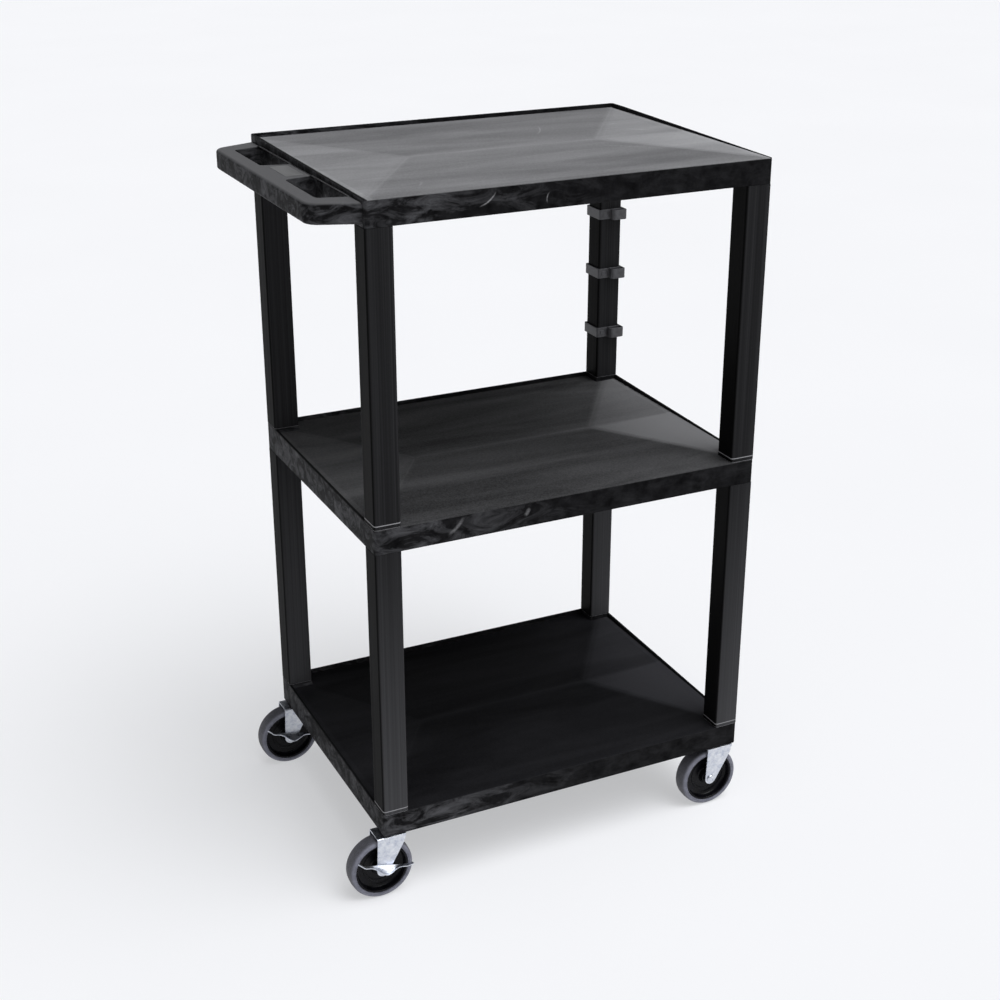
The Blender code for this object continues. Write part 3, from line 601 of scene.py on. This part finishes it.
def shelfSection(share, deck, raised):
    # from the deck's border outwards over the lip, down the skirt, and up the skirt's inner face
    wall, corner = shelf["lipWall"], shelf["corner"]
    top = deck + shelf["lipHeight"] * share
    inner, fillet = shelf["lipInnerEdge"], 1.5 * mm
    outer = shelf["frontEdge"] + (shelf["lipEdge"] - shelf["frontEdge"]) * share
    low, under = deck - shelf["skirtDepth"], deck - shelf["deckThickness"]
    lower, inside = shelf["lowerEdge"], shelf["skirtWall"]
    points = quarterRound((corner, deck), (wall, deck + fillet * share), True)
    points += [(wall, top - inner * share)]
    points += quarterRound((wall, top - inner * share), (wall - inner, top), False)
    points += [(outer, top)]
    points += quarterRound((outer, top), (0.0, top - outer), True)
    points = [(d, max(z, deck + raised) if d > outer else z) for d, z in points]
    points += [(0.0, z) for z in (top - outer - 6 * mm, (top + low) / 2, low + lower + 5 * mm, low + lower)]
    points += quarterRound((0.0, low + lower), (lower, low), False)
    points += [(inside - lower, low)]
    points += quarterRound((inside - lower, low), (inside, low + lower), True)
    points += [(inside, under - 2 * mm)]
    points += quarterRound((inside, under - 2 * mm), (corner, under), False)
    return points


def shelfStations(xs, ys, steps=6):
    # round the shelf anticlockwise from the front left: the deck's border point, and the direction out of it
    last, top = len(xs) - 1, len(ys) - 1
    sides = [([(i, 0) for i in range(last + 1)], -90), ([(last, j) for j in range(top + 1)], 0),
             ([(last - i, top) for i in range(last + 1)], 90), ([(0, top - j) for j in range(top + 1)], 180)]
    stations = []
    for border, angle in sides:
        stations += [(cell, angle) for cell in border]
        stations += [(border[-1], angle + 90 * i / steps) for i in range(1, steps)]
    return stations


def shelfShell(level):
    # deck, lip and skirt as one skin
    deck, corner = decks[level], shelf["corner"]
    pad = shelf["legPad"]
    edges = [] if level == "top" else [pad]
    xs = gridLines(left + corner, right - corner, [left + e for e in edges] + [right - e for e in edges])
    steps = [front + e + 0.6 * mm for e in edges] + [rear - e for e in edges]
    ys = gridLines(front + corner, rear - corner, steps)
    lines = sinkLines()
    bm = bmesh.new()
    grid = [[bm.verts.new((x, y, deck + padHeight(level, x, y) + deckRelief(x, y, lines))) for y in ys]
            for x in xs]
    for i in range(len(xs) - 1):
        for j in range(len(ys) - 1):
            bm.faces.new((grid[i][j], grid[i + 1][j], grid[i + 1][j + 1], grid[i][j + 1]))
    columns = []
    for (i, j), angle in shelfStations(xs, ys):
        out = Vector((math.cos(math.radians(angle)), math.sin(math.radians(angle))))
        outerY = ys[j] + out.y * corner
        section = shelfSection(lipShare(level, outerY), deck, padHeight(level, xs[i], ys[j]))
        x, y = xs[i] + out.x * corner, ys[j] + out.y * corner
        skin = [bm.verts.new((x - out.x * d, y - out.y * d, z)) for d, z in section]
        columns.append([grid[i][j], *skin])
    for first, second in zip(columns, columns[1:] + columns[:1]):
        for k in range(len(first) - 1):
            addFace(bm, (first[k], first[k + 1], second[k + 1], second[k]))
    bmesh.ops.remove_doubles(bm, verts=bm.verts, dist=1e-6)
    hole = [e for e in bm.edges if e.is_boundary]
    bmesh.ops.contextual_create(bm, geom=hole)
    return bm


def ribBetween(start, end, under):
    # one rib under the deck, with rounded edges
    thick, deep = 3.0 * mm, 7.0 * mm
    run = Vector(end) - Vector(start)
    half = (run.length / 2, thick / 2)
    bm = roundedPlate([rectangle(-half[0], -half[1], *half)], -deep, 1 * mm, 0.5 * mm)
    turned(bm, math.atan2(run.y, run.x), "Z")
    return moved(bm, (*((Vector(start) + Vector(end)) / 2), under))


def squareTube(x, y, side, corner, low, high, edge, wall=None):
    half = side / 2
    outlines = [roundedCorners(rectangle(x - half, y - half, x + half, y + half), corner)]
    if wall:
        half -= wall
        outlines.append(roundedCorners(rectangle(x - half, y - half, x + half, y + half), corner / 2))
    return roundedPlate(outlines, low, high, edge)


def cornerPlaces(inset):
    return [(left + inset, front + inset), (right - inset, front + inset),
            (left + inset, rear - inset), (right - inset, rear - inset)]


def shelfUnderside(level):
    # ribs, the solid corner blocks, and the pegs that the leg tubes slide over
    deck = decks[level]
    low, under = deck - shelf["skirtDepth"], deck - shelf["deckThickness"]
    half = shelf["legPad"] / 2
    pegSide, pegCorner = shelf["pegSide"], 3 * mm
    shapes = []
    for start, meet in sinkLines():
        inside = 12 * mm if abs(start.y - meet.y) > mm else 2 * mm  # in a corner block, or in the skirt
        shapes.append(ribBetween(start + (meet - start).normalized() * inside, meet, under))
    middle = (front + rear) / 2
    meets = [(left + shelf["sinkMeet"], middle), (right - shelf["sinkMeet"], middle)]
    shapes.append(ribBetween(*meets, under))
    for number, (x, y) in enumerate(cornerPlaces(half)):
        inner = 1.0 * mm  # keeps the block just inside the skirt
        x += inner / 2 * (1 if number % 2 == 0 else -1)
        y += inner / 2 * (1 if number < 2 else -1)
        shapes.append(squareTube(x, y, 2 * half - inner, 3 * mm, low + 0.02 * mm, under + 1 * mm, 0.6 * mm))
    for number, (x, y) in enumerate(cornerPlaces(half)):
        if level != "bottom":
            shapes.append(squareTube(x, y, pegSide, pegCorner, low - shelf["peg"], low + 5 * mm, 1 * mm))
        if level != "top":
            stand = deck + (shelf["lipHeight"] if number > 1 else 0.0)
            shapes.append(squareTube(x, y, pegSide, pegCorner, deck - 2 * mm, stand + shelf["peg"], 1 * mm))
    return shapes


# Push handle, moulded in one with the top shelf: two arms, a bar, and a bridge between two hand holes.
handle = {
    "topDrop": 0.0040, "height": 0.0290, "reach": 0.0670, "bar": 0.0240, "edge": 0.0045, "holeEdge": 0.0016,
    "armOuter": 0.0070, "armInner": 0.0470, "barCorner": 0.0330, "holeCorner": 0.0580, "corner": 0.0180,
    "bridgeAtBar": 0.0520, "bridgeAtShelf": 0.0420, "holeRadius": 0.0060,
}


def handleShape():
    top = decks["top"] - handle["topDrop"]
    bar = left - handle["reach"]
    outer = roundedCorners(
        [(left + 1.7 * mm, front + handle["armOuter"]), (left + 1.7 * mm, rear - handle["armOuter"]),
         (bar, rear - handle["barCorner"]), (bar, front + handle["barCorner"])],
        (0, 0, handle["corner"], handle["corner"]), 10)
    middle, inner = (front + rear) / 2, bar + handle["bar"]
    holes = []
    for face, inwards in ((front, 1), (rear, -1)):
        corners = [(left - 0.2 * mm, face + inwards * handle["armInner"]),
                   (left - 0.2 * mm, middle - inwards * handle["bridgeAtShelf"]),
                   (inner, middle - inwards * handle["bridgeAtBar"]),
                   (inner, face + inwards * handle["holeCorner"])]
        if inwards < 0:
            corners.reverse()
        holes.append(roundedCorners(corners, handle["holeRadius"], 6))
    edges = (handle["edge"], handle["holeEdge"], handle["holeEdge"])
    return roundedPlate([outer, *holes], top - handle["height"], top, edges, 6)


def makeShelves(finish):
    for level in decks:
        shapes = [shelfShell(level), *shelfUnderside(level)]
        if level == "top":
            shapes.append(handleShape())
        mesh = toMesh(f"{level}ShelfMoulding", joined(shapes))
        addPiece(f"{level}ShelfMoulding", mesh, finish, "root", [f"{level}_shelf"])
    print("shelves: three decks with lips, skirts, ribs and the push handle")


# Legs: square tubes that slide over the pegs.
storeys = ("upper", "lower")
leg = {"wall": 0.0025, "corner": 0.0050, "endRound": 0.0007, "footHighlight": 0.0007}


def makeLegs(finish):
    for storey in storeys:
        for place in places:
            node = f"{storey}_leg_{place}"
            low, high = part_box(node)
            x, y = (low.x + high.x) / 2, (low.y + high.y) / 2
            bm = squareTube(x, y, high.x - low.x, leg["corner"], low.z, high.z, leg["endRound"], leg["wall"])
            name = node.replace("_leg", "Leg").replace("_", "")
            addPiece(name + "Tube", toMesh(name, bm), finish, "root", [node])
    print("legs: eight square tubes")


# Cable clips: a C that snaps round the rear right leg, with a loop for a lead on the front.
clip = {"wall": 0.0024, "tall": 0.0165, "wrap": 0.0070, "loopWide": 0.0260, "loopDeep": 0.0120,
        "gap": 0.0003, "edge": 0.0007, "boss": 0.0075}


def clipShape(side):
    inner = side / 2 + clip["gap"]
    outer = inner + clip["wall"]
    jaw, loop = outer - clip["wrap"], outer - clip["loopWide"]
    tip = -outer - clip["loopDeep"]
    corners = [(-outer, -outer), (loop, -outer), (loop, tip), (outer, tip), (outer, outer), (jaw, outer),
               (jaw, inner), (inner, inner), (inner, -inner), (-inner, -inner), (-inner, inner),
               (-jaw, inner), (-jaw, outer), (-outer, outer)]
    soft = (0.003, 0.0015, 0.005, 0.005, 0.003, 0.001, 0.001, 0, 0.001, 0.001, 0, 0.001, 0.001, 0.003)
    wall = clip["wall"]
    hole = roundedCorners(rectangle(loop + wall, tip + wall, outer - wall, -outer), 0.0028, 5)
    half = clip["tall"] / 2
    body = roundedPlate([roundedCorners(corners, soft, 5), hole], -half, half, clip["edge"])
    boss = clip["boss"]
    button = roundedPlate([roundedCorners(rectangle(-boss / 2, -boss / 2, boss / 2, boss / 2), 0.002)],
                          0.0, 2.0 * mm, 0.6 * mm)
    moved(upright(button), ((loop - outer) / 2, -outer + 1.2 * mm, 0))
    return joined([body, button])


def makeClips(finish):
    low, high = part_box("upper_leg_rear_right")
    middle = ((low.x + high.x) / 2, (low.y + high.y) / 2)
    mesh = toMesh("cableClip", clipShape(high.x - low.x))
    for number in (1, 2, 3):
        node = f"cable_clip_{number}"
        bottom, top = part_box(node)
        at = (*middle, (bottom.z + top.z) / 2)
        addPiece(f"cableClip{number}", mesh, finish, "root", [node], at)
    print("clips: three snap-on cable clips")


# Casters, in metres. Local places are from the swivel axis, with the floor at z = 0.
caster = {
    "wheel": 0.0508, "tyreInner": 0.0423, "tyreHalf": 0.0135, "shoulder": 0.0050, "rimHalf": 0.0120,
    "rim": 0.0420, "rimWall": 0.0026, "web": 0.0020, "barrel": 0.0125, "bore": 0.0065,
    "trail": 0.0225, "forkHalf": 0.0175, "plate": 0.0025, "forkTop": 0.1072, "bend": 0.0028,
    "tip": 0.0100, "rearX": -0.0300, "frontX": 0.0165, "stepX": 0.0135, "stepZ": 0.0945,
    "axle": 0.0040, "race": 0.0150, "gap": 0.0003,
}


def tyreProfile():
    # flat side with a shallow bead groove, round shoulder, crowned tread with a mould line round its middle
    half, radius, soft = caster["tyreHalf"], caster["wheel"], caster["shoulder"]
    inner = caster["tyreInner"]
    side = [(inner, -half + 0.8 * mm), (inner + 0.3 * mm, -half + 0.2 * mm), (inner + 0.9 * mm, -half),
            (inner + 1.5 * mm, -half), (inner + 1.9 * mm, -half + 0.5 * mm), (inner + 2.3 * mm, -half)]
    side += arcPoints((radius - 0.6 * mm - soft, -half + soft), soft, -90, 0, 8)
    crown = [(radius - 0.3 * mm, -half + soft + 3 * mm), (radius - 0.12 * mm, -1.0 * mm),
             (radius, -0.15 * mm)]
    lower = side + crown
    return lower + [(r, -y) for r, y in reversed(lower)]


def hubProfile():
    # rim, a deep dish down to the web with one moulded step, and the barrel round the axle
    half, rim, web = caster["rimHalf"], caster["rim"], caster["web"]
    inner = rim - caster["rimWall"]
    barrel, bore = caster["barrel"], caster["bore"]
    side = [(bore, -half + 0.5 * mm), (bore + 0.5 * mm, -half), (barrel - 0.8 * mm, -half),
            (barrel, -half + 0.8 * mm), (barrel + 0.6 * mm, -web - 3 * mm)]
    side += arcPoints((barrel + 3.6 * mm, -web - 3 * mm), 3 * mm, 180, 90, 5)
    side += [(24 * mm, -web), (24.6 * mm, -web - 0.8 * mm), (27.4 * mm, -web - 0.8 * mm), (28 * mm, -web)]
    side += arcPoints((inner - 6 * mm, -web - 5 * mm), 5 * mm, 90, 12, 7)
    side += [(inner - 0.3 * mm, -half + 1.0 * mm), (inner + 0.3 * mm, -half + 0.2 * mm),
             (inner + 0.9 * mm, -half), (rim - 0.6 * mm, -half), (rim, -half + 0.6 * mm)]
    return side + [(r, -y) for r, y in reversed(side)]


def forkSpan(z):
    # where the fork's side plate starts and ends along X at this height
    axleX, axleZ, tip = -caster["trail"], caster["wheel"], caster["tip"]
    chord = math.sqrt(max(0.0, tip ** 2 - (z - axleZ) ** 2))
    low = axleX - chord if z < axleZ else axleX - tip + (caster["rearX"] + tip - axleX) * (
        (z - axleZ) / (caster["forkTop"] - axleZ))
    turn = math.radians(-29.4)  # where the slanted edge leaves the round end
    startX, startZ = axleX + tip * math.cos(turn), axleZ + tip * math.sin(turn)
    if z < startZ:
        return low, axleX + chord
    if z < caster["stepZ"]:
        return low, startX + (caster["stepX"] - startX) * (z - startZ) / (caster["stepZ"] - startZ)
    share = (z - caster["stepZ"]) / (caster["forkTop"] - caster["stepZ"])
    return low, caster["stepX"] + (caster["frontX"] - caster["stepX"]) * share


def forkPath():
    # (y, z, outward y, outward z) along the pressed strip: up one plate, over the crown, down the other
    half, top, bend = caster["forkHalf"], caster["forkTop"], caster["bend"]
    axleZ, tip = caster["wheel"], caster["tip"]
    tips = [axleZ - tip * math.cos(math.radians(a)) for a in (1, 8, 16, 26, 38, 50, 60, 75, 90)]
    plates = tips + [axleZ + (top - bend - axleZ) * t for t in (0.15, 0.35, 0.55, 0.774, 0.80, 0.9, 1.0)]
    path = [(-half, z, -1.0, 0.0) for z in plates]
    for a in range(15, 91, 15):
        c, s = math.cos(math.radians(a)), math.sin(math.radians(a))
        path.append((-half + bend * (1 - c), top - bend * (1 - s), -c, s))
    other = [(-y, z, -outY, outZ) for y, z, outY, outZ in reversed(path)]
    return path + other


def forkShape():
    # a ring of points round the strip's section at each place along it, with softened edges
    thick, soft = caster["plate"], 0.5 * mm
    bm = bmesh.new()
    rings = []
    for y, z, outY, outZ in forkPath():
        low, high = forkSpan(z)
        cut = min(soft, (high - low) / 3)
        section = [(low + cut, 0.0), (high - cut, 0.0), (high - cut * 0.3, cut * 0.3), (high, cut),
                   (high, thick - cut), (high - cut * 0.3, thick - cut * 0.3), (high - cut, thick),
                   (low + cut, thick), (low + cut * 0.3, thick - cut * 0.3), (low, thick - cut), (low, cut),
                   (low + cut * 0.3, cut * 0.3)]
        rings.append([bm.verts.new((x, y - outY * d, z - outZ * d)) for x, d in section])
    for first, second in zip(rings, rings[1:]):
        bridge(bm, first, second)
    bm.faces.new(rings[0])
    bm.faces.new(rings[-1])
    return bm


def raceShape(low, high):
    # ball race: lower cup and upper cap, with the dark slot between them
    inner, outer = 5.8 * mm, caster["race"]
    tall = high - low
    profile = [(inner, low), (outer - 1.6 * mm, low), (outer - 0.7 * mm, low + 0.15 * tall),
               (outer - 0.7 * mm, low + 0.38 * tall), (outer - 2.2 * mm, low + 0.44 * tall),
               (outer - 2.2 * mm, low + 0.56 * tall), (outer - 0.5 * mm, low + 0.60 * tall),
               (outer, low + 0.75 * tall), (outer - 0.4 * mm, high), (inner, high)]
    return turned(lathe(profile), math.pi / 2, "X")


def turnedBar(profile, steps=48):
    bm = bmesh.new()
    rings = []
    for radius, y in profile:
        count = 1 if radius == 0 else steps
        angles = [2 * math.pi * i / steps for i in range(count)]
        rings.append([bm.verts.new((radius * math.cos(a), y, radius * math.sin(a))) for a in angles])
    for first, second in zip(rings, rings[1:]):
        for i in range(steps):
            j = (i + 1) % steps
            addFace(bm, (first[i % len(first)], first[j % len(first)], second[j % len(second)],
                         second[i % len(second)]))
    return bm


def boltShape(seat):
    # domed head with a shallow stamped ring, plain shank, and a threaded end with a chamfer
    face = -caster["forkHalf"] - seat - caster["gap"]
    end, shank = caster["forkHalf"] + 6.5 * mm, caster["axle"]
    head = [(0.0, -2.1), (2.2, -2.15), (2.6, -2.6), (3.4, -2.75), (4.6, -2.45), (5.8, -1.8), (6.6, -1.0),
            (6.8, -0.5), (6.6, -0.1), (6.2, 0.0)]
    profile = [(r * mm, face + y * mm) for r, y in head] + [(shank, face), (shank, end - 5.2 * mm)]
    pitch, turns = 0.8 * mm, 6
    for i in range(turns):
        start = end - 5.2 * mm + i * pitch
        profile += [(shank - 0.45 * mm, start + pitch * 0.5), (shank, start + pitch)]
    profile += [(shank - 0.7 * mm, end), (0.0, end)]
    return turnedBar(profile)


def nutShape():
    # hexagon nut with its corners turned off, on a pressed washer face
    start = caster["forkHalf"] + caster["gap"]
    flats, tall = 7.3 * mm, 5.0 * mm
    hexagon = arcPoints((0, 0), flats, 0, 300, 5)
    inside = arcPoints((0, 0), caster["axle"] + 0.3 * mm, 0, 352.5, 47)
    body = roundedPlate([roundedCorners(hexagon, 0.5 * mm, 2), inside], -start - tall, -start - 0.5 * mm,
                        (0.9 * mm, 0.3 * mm), 3)
    upright(body)
    ring = [(4.4, 0), (7.1, 0), (7.1, 0.6), (6.4, 0.9), (4.4, 0.9)]
    washer = lathe([(r * mm, start + y * mm) for r, y in ring], 48)
    return joined([body, washer])


# Brake levers: pressed steel, on the -Y side of the two casters at the handle end.
lever = {"tilt": 13.0, "half": 0.0460, "rise": 0.0085, "reach": 0.0160, "endReach": 0.0085,
         "plate": 0.0016, "shoulder": 0.0230, "pedal": 0.0060, "dish": 0.0012, "rim": 0.0012,
         "slope": 0.0085}


def leverReach(x):
    # how far the tread stands out from the fork at this place along it: a boat shape
    share = smoothStep(1 - abs(x) / lever["shoulder"])
    return lever["endReach"] + (lever["reach"] - lever["endReach"]) * share


def leverHeight(x, across):
    # dished in the middle, with the outer rim turned up, and the ends curled up into pedals
    half = lever["half"]
    along = abs(x) / half
    dish = math.cos(min(1.0, along * 1.3) * math.pi / 2) * math.sin(math.pi * min(1.0, across * 1.1))
    rim = lever["rim"] * smoothStep((across - 0.72) / 0.28)
    curl = lever["pedal"] if x < 0 else lever["pedal"] * 0.55
    slope = lever["slope"] * across * smoothStep(1 - abs(x) / (1.15 * lever["shoulder"]))
    curl *= smoothStep((along - 0.70) / 0.30) ** 1.2
    return lever["rise"] - slope - lever["dish"] * dish + rim + curl


def leverShape():
    thick, near = lever["plate"], -caster["forkHalf"] - caster["gap"]
    columns, rows = 44, 9
    bm = bmesh.new()
    sheets = []
    for lift in (0.0, thick):
        sheet = []
        for i in range(columns + 1):
            x = lever["half"] * (2 * i / columns - 1)
            endRound = math.sqrt(max(0.0, 1 - ((abs(x) - lever["half"] + 4 * mm) / (4 * mm)) ** 2)) \
                if abs(x) > lever["half"] - 4 * mm else 1.0
            reach = leverReach(x) * (0.55 + 0.45 * endRound)
            start = leverReach(x) * 0.28 * (1 - endRound)
            line = []
            for j in range(rows + 1):
                across = j / rows
                y = near - start - (reach - start) * across
                line.append(bm.verts.new((x, y, leverHeight(x, across) + lift)))
            sheet.append(line)
        sheets.append(sheet)
    for sheet in sheets:
        for i in range(columns):
            for j in range(rows):
                bm.faces.new((sheet[i][j], sheet[i + 1][j], sheet[i + 1][j + 1], sheet[i][j + 1]))
    border = [(i, 0) for i in range(columns)] + [(columns, j) for j in range(rows)]
    border += [(columns - i, rows) for i in range(columns)] + [(0, rows - j) for j in range(rows)]
    bridge(bm, [sheets[0][i][j] for i, j in border], [sheets[1][i][j] for i, j in border])
    bmesh.ops.recalc_face_normals(bm, faces=bm.faces)
    rimEdges = [e for e in bm.edges if e.calc_face_angle(0.0) > math.radians(55)]
    bmesh.ops.bevel(bm, geom=rimEdges, offset=0.45 * mm, segments=2, profile=0.5, affect="EDGES")
    top = lever["rise"] + thick / 2
    webOutline = [(20 * mm, top), (-20 * mm, top)] + arcPoints((0, 0), 7.5 * mm, 200, 340, 14)
    hole = arcPoints((0, 0), caster["axle"] + 0.3 * mm, 0, 345, 23)
    web = upright(roundedPlate([webOutline, hole], -near, -near + thick, 0.4 * mm))
    return joined([bm, web])


def makeCasters(finishes):
    zinc, hub, rubber = finishes["zinc"], finishes["hub"], finishes["rubber"]
    raceLow, raceHigh = (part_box("swivel_race_front_left")[i].z for i in (0, 1))
    meshes = {
        "tyre": toMesh("tyre", lathe(tyreProfile(), 128)),
        "wheelHub": toMesh("wheelHub", lathe(hubProfile())),
        "fork": toMesh("fork", forkShape()),
        "swivelRace": toMesh("swivelRace", raceShape(raceLow, raceHigh)),
        "plainBolt": toMesh("plainBolt", boltShape(0.0)),
        "brakedBolt": toMesh("brakedBolt", boltShape(lever["plate"] + caster["gap"])),
        "axleNut": toMesh("axleNut", nutShape()),
        "brakeLever": toMesh("brakeLever", leverShape()),
    }
    joints = {joint["name"]: joint["pos_m"] for joint in frame["joints"]}
    for place in places:
        x, y = joints[f"swivel_turn_{place}"][:2]
        axle = joints[f"wheel_spin_{place}"]
        title = place.title().replace("_", "")
        swivel, wheel = f"swivel_{place}", f"wheel_{place}"
        braked = f"brake_{place}" in frame["bodies"]
        bolt = "brakedBolt" if braked else "plainBolt"
        rows = [
            ("swivelRace", "swivelRace", zinc, "root", "zinc_plate", f"swivel_race_{place}", (x, y, 0)),
            ("fork", "fork", zinc, swivel, "zinc_plate", f"fork_{place}", (x, y, 0)),
            ("axleBolt", bolt, zinc, swivel, "zinc_plate", f"axle_bolt_{place}", axle),
            ("axleNut", "axleNut", zinc, swivel, "zinc_plate", f"axle_nut_{place}", axle),
            ("wheelHub", "wheelHub", hub, wheel, "hub_plastic", f"wheel_hub_{place}", axle),
            ("tyre", "tyre", rubber, wheel, "grey_rubber", f"tyre_{place}", axle),
        ]
        for name, mesh, finish, body, slotName, node, at in rows:
            addPiece(name + title, meshes[mesh], finish, body, [node], at)
        if braked:
            addPiece("brakeLever" + title, meshes["brakeLever"], zinc, f"brake_{place}",
                     [f"brake_lever_{place}"], axle, math.radians(lever["tilt"]))
    print("casters: four swivel casters, two of them with side brakes")


def finishHiddenNodes(finishes):
    # the pieces inside the casters keep their CAD shape and get the real finish
    for place in places:
        for part, finish, slotName in (("stem_socket", "nylon", "socket_plastic"),
                                       ("stem", "zinc", "zinc_plate"), ("axle_sleeve", "zinc", "zinc_plate")):
            node = frame["nodes"][f"{part}_{place}"]
            for materialSlot in node.material_slots:
                materialSlot.material = finishes[finish]


# A blank paper label on the handle's bridge.
label = {"long": 0.070, "wide": 0.026, "thick": 0.0003, "edge": 0.0018}


def vinylLabel():
    # Blank vinyl label: off-grey, semi-matte, a little soiled.
    return simplePlastic("blankVinylLabel", {"IOR": 1.5}, 9.0, "#5c5c5c", "#747474", (0.35, 0.50), 0.02)


def makeLabel():
    top = decks["top"] - handle["topDrop"]
    x = left - handle["reach"] + handle["bar"] + 0.020
    y = (front + rear) / 2
    half = (label["wide"] / 2, label["long"] / 2)
    outline = roundedCorners(rectangle(x - half[0], y - half[1], x + half[0], y + half[1]), label["edge"])
    bm = roundedPlate([outline], top - 0.05 * mm, top + label["thick"], 0.1 * mm, 2)
    addPiece("bridgeLabel", toMesh("bridgeLabel", bm), vinylLabel(), "root")
    print("label: one blank label on the handle's bridge")


# Soft studio light: a dim dome with a bright horizon, a broad light overhead and a weak one in front, and
# the floor's own glow.
studio = {"horizon": 0.80, "horizonFade": (0.10, 0.26), "dome": 0.07, "floorGlow": 0.50,
          "overhead": 7.4, "overheadFocus": 13.0, "overheadFrom": (0.22, -0.34, 0.91),
          "key": 0.42, "keyFocus": 5.0, "keyFrom": (0.42, -0.85, 0.30)}


def makeFloor():
    # matt white paper sweep, level with the wheels' lowest points
    bm = bmesh.new()
    bmesh.ops.create_grid(bm, x_segments=8, y_segments=8, size=60.0)
    glow = {"Roughness": 0.9, gloss: 0.1, "Emission Color": toLinear("#f7f8fa"),
            "Emission Strength": studio["floorGlow"]}
    material, add, shader, place = newMaterial("mattWhitePaper", glow)
    cloud = add("TexNoise", {"Scale": perMm(900), "Detail": 2.0}, {"Vector": place})
    tone = add("ValToRGB", {"stops": [(0.3, "#b3b3b4"), (0.7, "#b5b5b6")]}, {0: cloud})
    material.node_tree.links.new(tone, shader.inputs["Base Color"])
    mesh = toMesh("studioFloor", bm)
    mesh.materials.append(material)
    floor = bpy.data.objects.new("studioFloor", mesh)
    bpy.context.scene.collection.objects.link(floor)


def makeLight():
    world = bpy.data.worlds.new("studioDome")
    bpy.context.scene.world = world
    world.use_nodes = True
    tree = world.node_tree
    add = partial(addNode, tree)
    direction = add("TexCoord", output="Generated")
    height = add("SeparateXYZ", None, {0: direction}, 2)
    start, finish = studio["horizonFade"]
    fade = {"interpolation_type": "SMOOTHSTEP", 1: start, 2: finish,
            3: studio["horizon"] + studio["dome"], 4: studio["dome"]}
    low = add("MapRange", fade, {0: height})
    light = low
    for lamp in ("overhead", "key"):
        towards = tuple(Vector(studio[lamp + "From"]).normalized())
        facing = add("VectorMath", {"operation": "DOT_PRODUCT", 1: towards}, {0: direction}, "Value")
        facing = add("Math", {"operation": "MAXIMUM", 1: 0.0}, {0: facing})
        lobe = add("Math", {"operation": "POWER", 1: studio[lamp + "Focus"]}, {0: facing})
        light = add("Math", {"operation": "MULTIPLY_ADD", 1: studio[lamp]}, {0: lobe, 2: light})
    tree.links.new(light, tree.nodes["Background"].inputs["Strength"])
    tree.nodes["Background"].inputs["Color"].default_value = toLinear("#fbfcff")
    bpy.context.scene.view_settings.view_transform = "Standard"


# Camera at the front left, a little above: place, the direction it looks, its roll and its lens.
view = {"at": (-1.02246, -2.15395, 1.53998), "looks": (0.40052, 0.82770, -0.39305), "roll": 0.01,
        "lens": 59.0}


def makeCamera():
    data = bpy.data.cameras.new("studioCamera")
    data.lens = view["lens"]
    data.sensor_width = 36.0
    camera = bpy.data.objects.new("studioCamera", data)
    bpy.context.scene.collection.objects.link(camera)
    camera.location = view["at"]
    aim = Vector(view["looks"]).to_track_quat("-Z", "Y").to_matrix()
    camera.rotation_euler = (aim @ Matrix.Rotation(math.radians(view["roll"]), 3, "Z")).to_euler()
    bpy.context.scene.camera = camera
    print("stage: floor, light and camera")


makeCamera()
makeLight()
makeFloor()
finishes = {
    "zinc": brightZinc(), "hub": mouldedPolypropylene(), "rubber": greyRubber(), "nylon": mouldedNylon(),
}
makeShelves(mouldedPolyethylene())
feet = {round(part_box(f"{storey}_leg_{place}")[0].z, 5) for storey in storeys for place in places}
makeLegs(extrudedTube(sorted(feet)))
makeClips(mouldedAcetal())
makeCasters(finishes)
finishHiddenNodes(finishes)
makeLabel()
